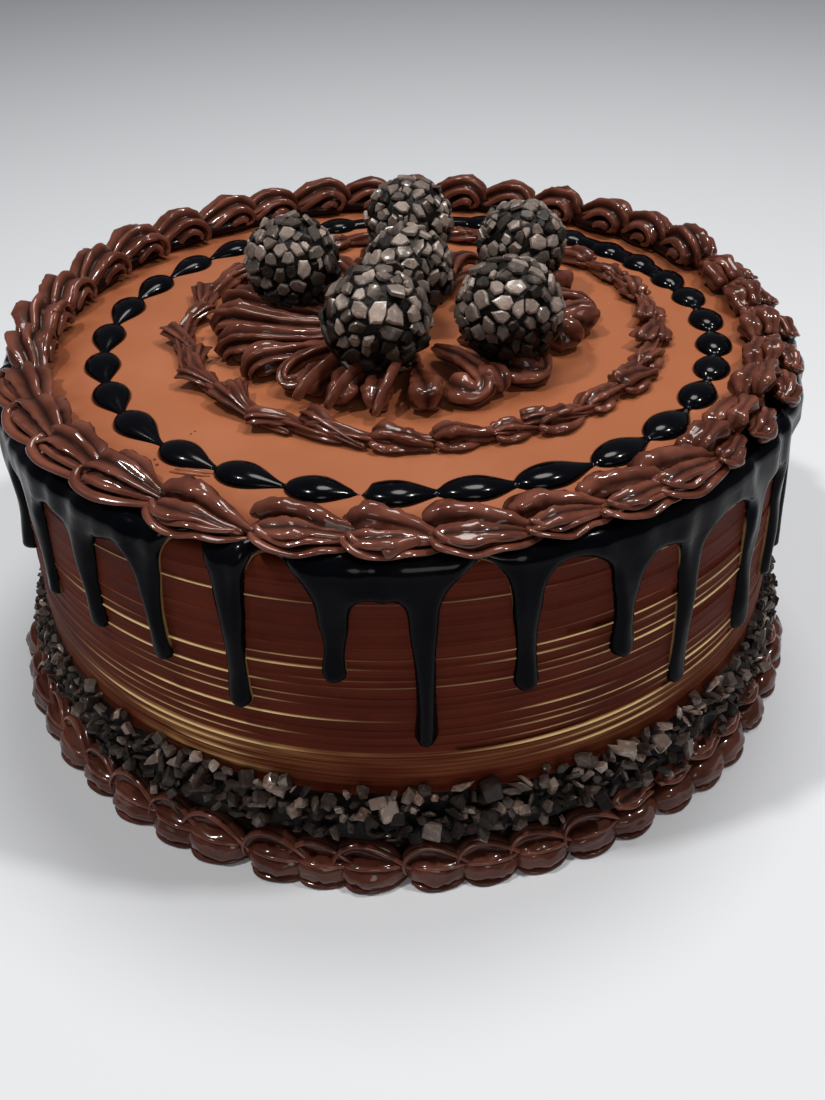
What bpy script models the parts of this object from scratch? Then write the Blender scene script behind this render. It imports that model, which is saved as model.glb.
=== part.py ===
"""A whole round chocolate cake with piped borders, a dripping glaze and crusted truffles.

The origin is the middle of the cake's underside, +Z is up and the front of the cake faces -Y.
Angles run counter-clockwise from +X, seen from above. Every length is in metres.
"""

import math
import random

import bmesh
import bpy
from mathutils import Matrix, Vector

MM = 0.001
TURN = 2.0 * math.pi
SEED = 11
GAP = 0.3 * MM

# The cake: a turned block whose side leans in a little and is combed with ridges
BASE_RADIUS = 115.8 * MM
TOP_RADIUS = 114.2 * MM
CAKE_HEIGHT = 96.5 * MM
RIM_ROUNDING = 1.6 * MM
CAKE_STEPS = 48
COMB_DEPTH = 0.9 * MM
COMB_RIDGES = (34.0, 44.0, 57.0, 74.0)
COMB_HALF_WIDTH = 1.4

# The smooth ganache on top, and the glaze that covers the rim and drips down the side
POOL_RADIUS = 98.2 * MM
COAT_THICKNESS = 1.7 * MM
TABLE = CAKE_HEIGHT + GAP + COAT_THICKNESS
SEAT = TABLE + GAP
DRIP_GAP = 0.45 * MM
SHEET_INNER_GAP = 0.6 * MM
RIM_DROP = 2.2 * MM
DRIP_COUNT = 30
DRIP_WIDTH = 6.6 * MM
DRIP_THICKNESS = 2.2 * MM
DRIP_BULB = 0.8 * MM
DRIP_FLARE = 1.7 * MM
DRIP_SHOULDER = 0.35 * DRIP_WIDTH
GLAZE_EDGE = 13.0 * MM
FIRST_DRIP = -157.0
DRIP_TIPS = (56, 55, 58, 59, 51, 63, 43, 57, 59, 40, 40, 46)
DRIP_TIP_RANGE = (42.0, 66.0)

# The rope of shells round the top edge
ROPE_RADIUS = 105.9 * MM
ROPE_HALF_WIDTH = 8.4 * MM
ROPE_HEIGHT = 11.6 * MM
ROPE_SHELLS = 36
ROPE_SWAY = 0.8 * MM

# The string of glaze beads, the leafy ring and the rosette, each piped round its own centre
BEAD_CENTRE = (2.8 * MM, -0.1 * MM)
BEAD_RADIUS = 88.9 * MM
BEAD_HALF_WIDTH = 5.2 * MM
BEAD_HEIGHT = 3.2 * MM
BEAD_COUNT = 30
BEAD_START = -93.0
LEAF_CENTRE = (6.1 * MM, 2.4 * MM)
LEAF_RADIUS = 69.2 * MM
LEAF_HALF_WIDTH = 5.8 * MM
LEAF_HEIGHT = 6.4 * MM
LEAF_COUNT = 20
ROSETTE_CENTRE = (3.0 * MM, -1.0 * MM)
ROSETTE_RADIUS = 53.5 * MM
ROSETTE_NOTCH = 6.5 * MM
ROSETTE_STROKES = 17
ROSETTE_HEIGHT = 9.4 * MM
ROSETTE_GROOVE = 0.55
ROSETTE_SWIRL = 0.16

# The truffles: place of each centre and diameter, in millimetres
TRUFFLES = (
    (-30.8, 13.5, 27.6),
    (4.5, 45.0, 27.2),
    (3.4, 5.1, 26.6),
    (-5.8, -30.3, 29.0),
    (38.5, 24.2, 26.2),
    (30.5, -25.2, 28.4),
)
TRUFFLE_SINK = 2.6 * MM
TRUFFLE_FLAKE_STEPS = (-1.0, -0.2, 0.5, 1.0)
FLAKE_RELIEF = 0.75 * MM
SOCKET_CLEARANCE = 0.35 * MM
SOCKET_FACET_ALLOWANCE = 1.06

# The shells round the foot, and the chips pressed on the side above them
FOOT_GAP = 0.45 * MM
FOOT_SHELLS = 48
FOOT_WIDTH = 7.6 * MM
FOOT_HEIGHT = 13.6 * MM
CHIP_BAND_LOW = 15.0 * MM
CHIP_BAND_HEIGHT = 12.5 * MM
CHIP_BAND_THICKNESS = 4.6 * MM
CHIP_BAND_STEPS = 46
CHIP_BUMP = 1.5 * MM
CHIP_COUNT = 46
CHIP_SIZE = (4.4, 5.8)

# One shell or bead from head to tail: how far along, and its share of full size
ROPE_SHELL = ((0.0, 0.62), (0.16, 1.0), (0.5, 0.95), (0.88, 0.64))
FOOT_SHELL = ((0.0, 0.72), (0.2, 1.0), (0.62, 0.92))
LEAF_SHELL = ((0.0, 0.58), (0.2, 1.0), (0.62, 0.84))
BEAD_SHELL = ((0.0, 0.3), (0.24, 1.0), (0.56, 0.86))

# Outlines across a shell, as shares of its half width and height, from inner foot to outer foot
ROPE_OUTLINE = (
    (-0.86, 0.0),
    (-1.0, 0.5),
    (-0.52, 0.98),
    (-0.12, 0.76),
    (0.32, 0.92),
    (0.66, 0.48),
    (1.0, 0.34),
    (0.84, 0.0),
)
LEAF_OUTLINE = ((-0.9, 0.0), (-0.82, 0.62), (-0.3, 0.74), (0.14, 1.0), (0.56, 0.5), (1.0, 0.0))
BEAD_OUTLINE = ((-1.0, 0.0), (-0.72, 0.68), (0.0, 1.0), (0.72, 0.68), (1.0, 0.0))
FOOT_OUTLINE = ((0.0, 0.0), (0.1, 1.0), (0.74, 0.86), (0.64, 0.58), (1.0, 0.33), (0.82, 0.0))

# Colour, roughness, metallic and coat of each finish
FINISHES = {
    "crumb_coat": ((0.085, 0.024, 0.014), 0.42, 0.0, 0.2),
    "milk_ganache": ((0.36, 0.135, 0.064), 0.24, 0.0, 0.5),
    "dark_glaze": ((0.006, 0.006, 0.009), 0.1, 0.0, 1.0),
    "piped_ganache": ((0.13, 0.042, 0.027), 0.24, 0.0, 0.6),
    "flake_crust": ((0.055, 0.038, 0.032), 0.42, 0.0, 0.1),
    "chocolate_chip": ((0.04, 0.024, 0.018), 0.45, 0.0, 0.1),
}


def wall_radius(height):
    """Radius of the cake's side at a height above its underside."""
    return BASE_RADIUS + (TOP_RADIUS - BASE_RADIUS) * height / CAKE_HEIGHT


def on_ring(angle, radius, height, centre=(0.0, 0.0)):
    """A point at an angle and radius round a centre."""
    return Vector((
        centre[0] + radius * math.cos(angle),
        centre[1] + radius * math.sin(angle),
        height,
    ))


def clear_scene():
    """Removes what the file opened with."""
    for thing in list(bpy.data.objects):
        bpy.data.objects.remove(thing, do_unlink=True)


def new_collection(name):
    """A collection linked to the scene."""
    collection = bpy.data.collections.new(name)
    bpy.context.scene.collection.children.link(collection)
    return collection


def finish(name, label):
    """A material for the node of this name, with the named finish."""
    colour, roughness, metallic, coat = FINISHES[label]
    material = bpy.data.materials.new(f"{name}_{label}")
    material.use_nodes = True
    shader = material.node_tree.nodes["Principled BSDF"]
    shader.inputs["Base Color"].default_value = (*colour, 1.0)
    shader.inputs["Roughness"].default_value = roughness
    shader.inputs["Metallic"].default_value = metallic
    shader.inputs["Coat Weight"].default_value = coat
    material.diffuse_color = (*colour, 1.0)
    return material


def add_object(name, shape, collection, label=None):
    """Turns a bmesh into an object of the collection."""
    mesh = bpy.data.meshes.new(name)
    shape.to_mesh(mesh)
    shape.free()
    thing = bpy.data.objects.new(name, mesh)
    collection.objects.link(thing)
    if label:
        mesh.materials.append(finish(name, label))
        mesh.shade_smooth()
        mesh.set_sharp_from_angle(angle=math.radians(40))
    return thing


def loft(sections, closed):
    """Skins a row of sections, each with as many points as the next."""
    shape = bmesh.new()
    rows = [[shape.verts.new(point) for point in section] for section in sections]
    following = rows[1:] + rows[:1] if closed else rows[1:]
    for row, after in zip(rows, following):
        for k in range(len(row)):
            shape.faces.new((row[k - 1], row[k], after[k], after[k - 1]))
    if not closed:
        shape.faces.new(rows[0])
        shape.faces.new(rows[-1])
    bmesh.ops.triangulate(shape, faces=shape.faces)
    bmesh.ops.recalc_face_normals(shape, faces=shape.faces)
    return shape


def shell_stations(count, profile, first, jitter, draw):
    """Angle, share of the way along its shell and size of each station round a ring."""
    stations = []
    for shell in range(count):
        size = 1.0 + draw.uniform(-jitter, jitter)
        for along, share in profile:
            angle = first + TURN * (shell + along) / count
            stations.append((angle, along, share * size))
    return stations


def turned(name, profile, steps, collection, label):
    """A profile in the XZ plane turned about Z."""
    shape = bmesh.new()
    points = [shape.verts.new((radius, 0.0, height)) for radius, height in profile]
    for start, end in zip(points, points[1:]):
        shape.edges.new((start, end))
    thing = add_object(name, shape, collection, label)
    screw = thing.modifiers.new("turn", "SCREW")
    screw.angle = TURN
    screw.steps = steps
    screw.render_steps = steps
    screw.use_merge_vertices = True
    screw.merge_threshold = 0.00001
    return thing


def build_cake(collection):
    """The frosted cake: solid, with comb ridges round its side."""
    profile = [(0.0, CAKE_HEIGHT), (TOP_RADIUS - RIM_ROUNDING, CAKE_HEIGHT)]
    profile.append((wall_radius(CAKE_HEIGHT - RIM_ROUNDING) - COMB_DEPTH, CAKE_HEIGHT - RIM_ROUNDING))
    for ridge in sorted(COMB_RIDGES, reverse=True):
        for offset, depth in ((COMB_HALF_WIDTH, COMB_DEPTH), (-COMB_HALF_WIDTH, 0.0)):
            height = (ridge + offset) * MM
            profile.append((wall_radius(height) - depth, height))
    profile += [(BASE_RADIUS, 0.0), (0.0, 0.0)]
    return turned("cake", profile, CAKE_STEPS, collection, "crumb_coat")


def build_pool(collection):
    """The smooth ganache that lies on the cake inside the rope."""
    low = CAKE_HEIGHT + GAP
    edge = 0.4 * COAT_THICKNESS
    profile = [(0.0, TABLE), (POOL_RADIUS - edge, TABLE), (POOL_RADIUS, TABLE - edge)]
    profile += [(POOL_RADIUS, low), (0.0, low)]
    return turned("top_ganache", profile, CAKE_STEPS, collection, "milk_ganache")


def drip_section(angle, low, thickness):
    """The glaze cut through at an angle: the sheet over the rim and down to its lower edge."""
    underside = CAKE_HEIGHT + GAP
    shoulder = CAKE_HEIGHT - RIM_DROP
    foot_inside = wall_radius(low) + DRIP_GAP
    return [
        on_ring(angle, POOL_RADIUS + SHEET_INNER_GAP, underside),
        on_ring(angle, wall_radius(underside) + DRIP_GAP, underside),
        on_ring(angle, foot_inside, low),
        on_ring(angle, foot_inside + thickness, low + 0.5 * thickness),
        on_ring(angle, wall_radius(shoulder) + DRIP_GAP + DRIP_THICKNESS, shoulder),
        on_ring(angle, POOL_RADIUS + SHEET_INNER_GAP, TABLE),
    ]


def build_drip(collection):
    """The dark glaze over the rim, with a drip of its own length at each pitch."""
    draw = random.Random(SEED)
    half = 0.5 * DRIP_WIDTH / BASE_RADIUS
    flare = half + DRIP_FLARE / BASE_RADIUS
    sections = []
    for index in range(DRIP_COUNT):
        tip = DRIP_TIPS[index] if index < len(DRIP_TIPS) else draw.uniform(*DRIP_TIP_RANGE)
        middle = math.radians(FIRST_DRIP) + TURN * index / DRIP_COUNT
        arch = CAKE_HEIGHT - GLAZE_EDGE * draw.uniform(0.75, 1.15)
        low = tip * MM
        columns = (
            (-flare, arch, DRIP_THICKNESS),
            (-half, low + DRIP_SHOULDER, 0.7 * DRIP_THICKNESS),
            (0.0, low, DRIP_THICKNESS + DRIP_BULB),
            (half, low + DRIP_SHOULDER, 0.7 * DRIP_THICKNESS),
            (flare, arch, DRIP_THICKNESS),
        )
        for offset, edge, thickness in columns:
            sections.append(drip_section(middle + offset, edge, thickness))
    return add_object("ganache_drip", loft(sections, True), collection, "dark_glaze")


def piped_ring(stations, outline, radius, half_width, height, centre=(0.0, 0.0), sway=0.0):
    """Sections of a piped ring that lies on the cake's top."""
    sections = []
    for angle, along, size in stations:
        middle = radius + sway * (2.0 * along - 1.0)
        sections.append([
            on_ring(angle, middle + across * half_width * size, SEAT + up * height * size, centre)
            for across, up in outline
        ])
    return sections


def build_rope(collection):
    """The border of ridged shells round the top edge."""
    draw = random.Random(SEED + 1)
    stations = shell_stations(ROPE_SHELLS, ROPE_SHELL, math.radians(-140.4), 0.05, draw)
    sections = piped_ring(stations, ROPE_OUTLINE, ROPE_RADIUS, ROPE_HALF_WIDTH, ROPE_HEIGHT, sway=ROPE_SWAY)
    return add_object("top_border", loft(sections, True), collection, "piped_ganache")


def build_beads(collection):
    """The string of glaze beads, open at the front where its ends don't meet."""
    draw = random.Random(SEED + 2)
    stations = shell_stations(BEAD_COUNT, BEAD_SHELL, math.radians(BEAD_START), 0.06, draw)
    sections = piped_ring(stations, BEAD_OUTLINE, BEAD_RADIUS, BEAD_HALF_WIDTH, BEAD_HEIGHT, BEAD_CENTRE)
    return add_object("bead_ring", loft(sections, False), collection, "dark_glaze")


def build_leaf_ring(collection):
    """The thin ring of leafy shells between the beads and the rosette."""
    draw = random.Random(SEED + 3)
    stations = shell_stations(LEAF_COUNT, LEAF_SHELL, 0.0, 0.05, draw)
    sections = piped_ring(stations, LEAF_OUTLINE, LEAF_RADIUS, LEAF_HALF_WIDTH, LEAF_HEIGHT, LEAF_CENTRE)
    return add_object("inner_ring", loft(sections, True), collection, "piped_ganache")


def build_foot(collection):
    """The border of shells where the side meets the ground."""
    draw = random.Random(SEED + 4)
    sections = []
    for angle, _, size in shell_stations(FOOT_SHELLS, FOOT_SHELL, 0.0, 0.05, draw):
        section = []
        for across, up in FOOT_OUTLINE:
            height = up * FOOT_HEIGHT * size
            inside = wall_radius(height) + FOOT_GAP
            section.append(on_ring(angle, inside + across * FOOT_WIDTH * size, height))
        sections.append(section)
    return add_object("bottom_border", loft(sections, True), collection, "piped_ganache")


def stroke_height(radius_share, phase):
    """Share of full height of a rosette stroke, from its tail in the middle to its curled head."""
    rise = 0.46 + 0.54 * radius_share ** 1.5
    ridge = 0.5 + 0.5 * math.cos(phase)
    return rise * (ROSETTE_GROOVE + (1.0 - ROSETTE_GROOVE) * ridge)


def truffle_seat(place):
    """Centre and radius of a truffle that sinks a little into the rosette."""
    across, along, diameter = place
    radius = 0.5 * diameter * MM
    return Vector((across * MM, along * MM, SEAT + TRUFFLE_SINK + radius)), radius


def cut_sockets(thing, cutters):
    """Takes out of the rosette the hollow that each truffle presses into it."""
    for index, place in enumerate(TRUFFLES, 1):
        centre, radius = truffle_seat(place)
        ball = bmesh.new()
        reach = SOCKET_FACET_ALLOWANCE * (radius + FLAKE_RELIEF + SOCKET_CLEARANCE)
        bmesh.ops.create_icosphere(ball, subdivisions=2, radius=reach, matrix=Matrix.Translation(centre))
        cutter = add_object(f"socket_cutter_{index}", ball, cutters)
        cutter.hide_render = True
        cutter.display_type = "WIRE"
    cut = thing.modifiers.new("sockets", "BOOLEAN")
    cut.operation = "DIFFERENCE"
    cut.operand_type = "COLLECTION"
    cut.collection = cutters
    cut.solver = "EXACT"


def build_rosette(collection, cutters):
    """The strokes piped inwards to the middle, under the truffles."""
    per_stroke = 3
    rings = (0.2, 0.5, 0.78, 0.93)
    shape = bmesh.new()
    crown = shape.verts.new(on_ring(0.0, 0.0, SEAT + 0.46 * ROSETTE_HEIGHT, ROSETTE_CENTRE))
    base = shape.verts.new(on_ring(0.0, 0.0, SEAT, ROSETTE_CENTRE))
    columns = []
    for step in range(ROSETTE_STROKES * per_stroke):
        phase = TURN * step / per_stroke
        reach = ROSETTE_RADIUS - ROSETTE_NOTCH * (0.5 - 0.5 * math.cos(phase))
        column = [crown]
        for share in rings:
            angle = TURN * step / (ROSETTE_STROKES * per_stroke) + ROSETTE_SWIRL * (1.0 - share)
            height = SEAT + ROSETTE_HEIGHT * stroke_height(share, phase)
            column.append(shape.verts.new(on_ring(angle, reach * share, height, ROSETTE_CENTRE)))
        angle = TURN * step / (ROSETTE_STROKES * per_stroke)
        side = SEAT + 0.45 * ROSETTE_HEIGHT * stroke_height(1.0, phase)
        column.append(shape.verts.new(on_ring(angle, reach, side, ROSETTE_CENTRE)))
        column.append(shape.verts.new(on_ring(angle, 0.95 * reach, SEAT, ROSETTE_CENTRE)))
        column.append(base)
        columns.append(column)
    for column, after in zip(columns, columns[1:] + columns[:1]):
        for k in range(len(column) - 1):
            corners = dict.fromkeys((column[k], after[k], after[k + 1], column[k + 1]))
            shape.faces.new(tuple(corners))
    bmesh.ops.triangulate(shape, faces=shape.faces)
    bmesh.ops.recalc_face_normals(shape, faces=shape.faces)
    thing = add_object("centre_rosette", shape, collection, "piped_ganache")
    cut_sockets(thing, cutters)
    return thing


def build_truffles(collection):
    """The truffles, each a ball crusted with flat flakes that stand proud at different heights."""
    draw = random.Random(SEED + 5)
    for index, place in enumerate(TRUFFLES, 1):
        centre, radius = truffle_seat(place)
        ball = bmesh.new()
        bmesh.ops.create_icosphere(ball, subdivisions=3, radius=radius)
        spin = Matrix.Rotation(draw.uniform(0.0, TURN), 4, Vector((draw.random(), draw.random(), 1.0)))
        bmesh.ops.rotate(ball, verts=ball.verts, cent=(0.0, 0.0, 0.0), matrix=spin)
        for vert in ball.verts:
            vert.co += vert.co.normalized() * draw.choice(TRUFFLE_FLAKE_STEPS) * FLAKE_RELIEF
        bmesh.ops.translate(ball, verts=ball.verts, vec=centre)
        add_object(f"truffle_{index}", ball, collection, "flake_crust")


def chip_core():
    """The lumpy band that the chips are pressed into."""
    draw = random.Random(SEED + 6)
    outline = ((0.0, 0.0), (0.6, 0.0), (1.0, 0.4), (0.7, 0.85), (0.0, 1.0))
    sections = []
    for step in range(CHIP_BAND_STEPS):
        angle = TURN * step / CHIP_BAND_STEPS
        section = []
        for across, up in outline:
            height = CHIP_BAND_LOW + up * CHIP_BAND_HEIGHT
            bump = draw.uniform(-CHIP_BUMP, CHIP_BUMP) if across > 0.5 else 0.0
            lift = abs(bump) if up > 0.0 else 0.0
            inside = wall_radius(height) + FOOT_GAP
            section.append(on_ring(angle, inside + across * CHIP_BAND_THICKNESS + bump, height + lift))
        sections.append(section)
    return loft(sections, True)


def chip(angle, out, height, size, draw):
    """One broken chip: a block with uneven sides, turned at random."""
    block = bmesh.new()
    bmesh.ops.create_cube(block, size=size)
    stretch = Vector((draw.uniform(0.75, 1.1), draw.uniform(0.65, 1.0), draw.uniform(0.5, 0.75)))
    bmesh.ops.scale(block, verts=block.verts, vec=stretch)
    for vert in block.verts:
        vert.co += Vector([draw.uniform(-0.08, 0.08) * size for _ in range(3)])
    turn = Matrix.Rotation(draw.uniform(0.0, TURN), 3, Vector((draw.random(), draw.random(), 0.6)))
    bmesh.ops.rotate(block, verts=block.verts, cent=(0.0, 0.0, 0.0), matrix=turn)
    bmesh.ops.translate(block, verts=block.verts, vec=on_ring(angle, wall_radius(height) + out, height))
    sunk = FOOT_GAP - min(math.hypot(vert.co.x, vert.co.y) - wall_radius(vert.co.z) for vert in block.verts)
    low = CHIP_BAND_LOW - min(vert.co.z for vert in block.verts)
    clear = on_ring(angle, max(sunk, 0.0), max(low, 0.0))
    bmesh.ops.translate(block, verts=block.verts, vec=clear)
    return block


def keep_outer_body(shape):
    """Drops loose scraps and fills sealed hollows: only the body with the widest reach stays."""
    unseen = set(shape.verts)
    bodies = []
    while unseen:
        found = {unseen.pop()}
        edge_of_search = set(found)
        while edge_of_search:
            near = {edge.other_vert(vert) for vert in edge_of_search for edge in vert.link_edges}
            edge_of_search = near - found
            found |= near
        unseen -= found
        bodies.append(found)
    bodies.sort(key=len)
    for scrap in bodies[:-1]:
        bmesh.ops.delete(shape, geom=list(scrap), context="VERTS")


def build_chips(collection):
    """The band of chips on the side, with the larger chips fused to its core."""
    draw = random.Random(SEED + 7)
    core = add_object("chip_band", chip_core(), collection, "chocolate_chip")
    loose = new_collection("loose_chips")
    rows = ((4.4, 18.4), (4.0, 22.6), (2.8, 26.2))
    for index in range(CHIP_COUNT):
        out, height = rows[index % len(rows)]
        size = draw.uniform(*CHIP_SIZE) * MM
        angle = TURN * (index + draw.uniform(-0.3, 0.3)) / CHIP_COUNT
        rise = draw.uniform(-0.6, 0.8)
        add_object(f"chip_{index}", chip(angle, out * MM, (height + rise) * MM, size, draw), loose)
    join = core.modifiers.new("join", "BOOLEAN")
    join.operation = "UNION"
    join.operand_type = "COLLECTION"
    join.collection = loose
    join.solver = "EXACT"
    scene_graph = bpy.context.evaluated_depsgraph_get()
    joined = bmesh.new()
    joined.from_mesh(core.evaluated_get(scene_graph).data)
    core.modifiers.clear()
    keep_outer_body(joined)
    bmesh.ops.dissolve_degenerate(joined, edges=joined.edges, dist=0.00001)
    bmesh.ops.triangulate(joined, faces=joined.faces)
    joined.to_mesh(core.data)
    joined.free()
    for thing in list(loose.objects):
        bpy.data.objects.remove(thing, do_unlink=True)
    bpy.data.collections.remove(loose)


def main():
    """Builds every piece of the cake."""
    clear_scene()
    pieces = new_collection("chocolate_cake")
    cutters = new_collection("cutters")
    build_cake(pieces)
    build_pool(pieces)
    build_drip(pieces)
    build_rope(pieces)
    build_beads(pieces)
    build_leaf_ring(pieces)
    build_rosette(pieces, cutters)
    build_truffles(pieces)
    build_foot(pieces)
    build_chips(pieces)


main()
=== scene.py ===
"""The looks of a whole round chocolate cake: piping, glaze, truffles, chips, finishes, light and camera.

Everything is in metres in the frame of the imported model. The origin is the middle of the cake's underside,
+Z is up and the front of the cake faces -Y. Angles run counter-clockwise from +X, seen from above.
"""

import logging
import math
import random
from collections.abc import Callable, Sequence
from dataclasses import dataclass, replace
from enum import Enum
from typing import Any, Union

import bmesh
import bpy
from mathutils import Matrix, Vector, noise
from mathutils.kdtree import KDTree


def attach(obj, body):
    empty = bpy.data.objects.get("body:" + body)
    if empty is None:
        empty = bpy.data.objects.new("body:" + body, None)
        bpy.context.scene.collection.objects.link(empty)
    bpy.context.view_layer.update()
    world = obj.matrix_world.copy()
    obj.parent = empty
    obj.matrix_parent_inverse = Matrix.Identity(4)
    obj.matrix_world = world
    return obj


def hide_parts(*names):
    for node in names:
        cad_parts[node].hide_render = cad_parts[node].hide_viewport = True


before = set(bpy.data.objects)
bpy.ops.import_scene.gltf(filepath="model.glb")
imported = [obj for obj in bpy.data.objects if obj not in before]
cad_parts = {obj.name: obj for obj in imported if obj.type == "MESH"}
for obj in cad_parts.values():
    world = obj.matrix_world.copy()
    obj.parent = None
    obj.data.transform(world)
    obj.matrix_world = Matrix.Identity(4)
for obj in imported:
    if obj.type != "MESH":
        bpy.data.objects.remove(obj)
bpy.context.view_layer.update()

LOG = logging.getLogger("chocolate_cake")
MM = 0.001
TURN = 2.0 * math.pi
SEED = 23
ROUNDED_END = 0.09
LOWEST_POINT = -0.25
# Height in millimetres under which a stroke gets a painted contact shadow.
CONTACT_HEIGHT = 1.7
LEAF_CENTRE = (6.1 * MM, 2.4 * MM)
ROSETTE_CENTRE = (3.0 * MM, -1.0 * MM)
Colour = tuple[float, float, float]
Station = tuple[float, ...]
Number = Union["Signal", float]
Socket = Union[int, str]
Draw = random.Random
Shape = bmesh.types.BMesh
Piece = bpy.types.Object
Finish = bpy.types.Material
Placer = Callable[[float, float, float], Vector]


def on_ring(angle: float, radius: float, height: float, centre: Sequence[float] = (0.0, 0.0)) -> Vector:
    """A point at an angle and radius round a centre.

    Args:
        angle: radians counter-clockwise from +X.
        radius: distance from the centre, in metres.
        height: height over the cake's underside, in metres.
        centre: the ring's centre in X and Y, in metres.

    Returns:
        The point in the frame of the model.
    """
    return Vector((centre[0] + radius * math.cos(angle), centre[1] + radius * math.sin(angle), height))


def glide(keys: Sequence[Sequence[float]], share: float) -> list[float]:
    """A smooth curve through rows of numbers.

    Args:
        keys: the rows, evenly spaced along the curve.
        share: how far along the curve, from 0 to 1.

    Returns:
        One row of numbers between the keys.
    """
    last = len(keys) - 1
    spot = min(max(share, 0.0), 1.0) * last
    low = min(int(spot), last - 1)
    t = spot - low
    rows = [keys[min(max(low + k, 0), last)] for k in (-1, 0, 1, 2)]
    blend = (
        -0.5 * t + t * t - 0.5 * t**3,
        1.0 - 2.5 * t * t + 1.5 * t**3,
        0.5 * t + 2.0 * t * t - 1.5 * t**3,
        -0.5 * t * t + 0.5 * t**3,
    )
    return [sum(weight * row[k] for weight, row in zip(blend, rows)) for k in range(len(keys[0]))]


def ease(value: float) -> float:
    """A smooth step from 0 to 1."""
    value = min(max(value, 0.0), 1.0)
    return value * value * (3.0 - 2.0 * value)


def wander(angle: float, seed: float, rate: float = 1.0) -> float:
    """A smooth random number from about -1 to 1 that closes on itself round the cake."""
    return noise.noise(Vector((rate * math.cos(angle), rate * math.sin(angle), seed)))


def degrees_apart(one: float, other: float) -> float:
    """How far two directions are apart, in degrees from 0 to 180."""
    return abs((one - other + 180.0) % 360.0 - 180.0)


# Shader maths


class Signal:
    """A number that comes out of a shader node, on which Python's operators add Math nodes."""

    def __init__(self, recipe: "Recipe", socket: bpy.types.NodeSocket) -> None:
        """Wraps one output socket."""
        self.recipe = recipe
        self.socket = socket

    def __add__(self, other: Number) -> "Signal":
        """This number plus another."""
        return self.recipe.number("ADD", self, other)

    def __sub__(self, other: Number) -> "Signal":
        """This number less another."""
        return self.recipe.number("SUBTRACT", self, other)

    def __rsub__(self, other: float) -> "Signal":
        """A plain number less this one."""
        return self.recipe.number("SUBTRACT", other, self)

    def __mul__(self, other: Number) -> "Signal":
        """This number times another."""
        return self.recipe.number("MULTIPLY", self, other)

    __radd__ = __add__
    __rmul__ = __mul__

    def clamped(self) -> "Signal":
        """This number kept from 0 to 1."""
        return self.recipe.number("ADD", self, 0.0, clamp=True)

    def over(self, low: float, high: float) -> "Signal":
        """A smooth step from 0 at low to 1 at high."""
        settings = {"interpolation_type": "SMOOTHSTEP"}
        return self.recipe.add("ShaderNodeMapRange", settings, {0: self, 1: low, 2: high, 3: 0.0, 4: 1.0})


class Recipe:
    """The nodes of one material, from its patterns to its shader."""

    def __init__(self, name: str) -> None:
        """Starts an empty material with one shader."""
        self.material = bpy.data.materials.new(name)
        self.material.use_nodes = True
        self.tree = self.material.node_tree
        self.shader = self.tree.nodes["Principled BSDF"]
        self.place = self.add("ShaderNodeTexCoord", {}, {}, "Object")

    def feed(self, socket: bpy.types.NodeSocket, value: Any) -> None:
        """Sets a socket's value, or links it when the value is a signal."""
        if isinstance(value, Signal):
            self.tree.links.new(value.socket, socket)
        elif isinstance(value, tuple) and socket.type == "RGBA":
            socket.default_value = (*value, 1.0)
        else:
            socket.default_value = value

    def add(
        self, kind: str, settings: dict[str, Any], inputs: dict[Socket, Any], output: Socket = 0
    ) -> Signal:
        """Adds one node.

        Args:
            kind: the node's type.
            settings: its properties.
            inputs: what each socket, named by its number or name, is set or linked to.
            output: the socket that is wanted.

        Returns:
            The wanted output as a signal.
        """
        node = self.tree.nodes.new(kind)
        for key, value in settings.items():
            setattr(node, key, value)
        for key, value in inputs.items():
            self.feed(node.inputs[key], value)
        return Signal(self, node.outputs[output])

    def number(self, operation: str, *values: Number, clamp: bool = False) -> Signal:
        """Adds a Math node on these values."""
        settings = {"operation": operation, "use_clamp": clamp}
        return self.add("ShaderNodeMath", settings, dict(enumerate(values)))

    def mix(self, factor: Number, first: Any, second: Any) -> Signal:
        """A colour between two colours."""
        return self.add("ShaderNodeMix", {"data_type": "RGBA"}, {0: factor, 6: first, 7: second}, 2)

    def stretched(self, scale: Sequence[float]) -> Signal:
        """The object's coordinates times a scale on each axis."""
        return self.add("ShaderNodeMapping", {}, {"Vector": self.place, "Scale": Vector(scale)})

    def noise(self, scale: float, detail: float, rough: float = 0.55, place: Signal | None = None) -> Signal:
        """A cloudy pattern of so many clouds a metre."""
        inputs = {"Vector": place or self.place, "Scale": scale, "Detail": detail, "Roughness": rough}
        return self.add("ShaderNodeTexNoise", {}, inputs, "Fac")

    def attribute(self, name: str) -> Signal:
        """A number that the mesh carries at each vertex."""
        return self.add("ShaderNodeAttribute", {"attribute_name": name}, {}, "Fac")

    def relief(self, *layers: tuple[Signal, float, float]) -> Signal:
        """Surface reliefs laid on each other, each a pattern, its height in metres and its strength."""
        normal = None
        for pattern, height, strength in layers:
            inputs: dict[Socket, Any] = {"Height": pattern, "Distance": height, "Strength": strength}
            if normal is not None:
                inputs["Normal"] = normal
            normal = self.add("ShaderNodeBump", {}, inputs, "Normal")
        return normal

    def finish(self, look: Colour, **sockets: Any) -> Finish:
        """Feeds the shader and returns the material.

        Args:
            look: the plain colour that stands for the finish in a viewport.
            sockets: what goes to each of the shader's sockets, with _ for a blank.

        Returns:
            The finished material.
        """
        for key, value in sockets.items():
            self.feed(self.shader.inputs[key.replace("_", " ")], value)
        self.material.diffuse_color = (*look, 1.0)
        return self.material


# Finishes


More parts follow.
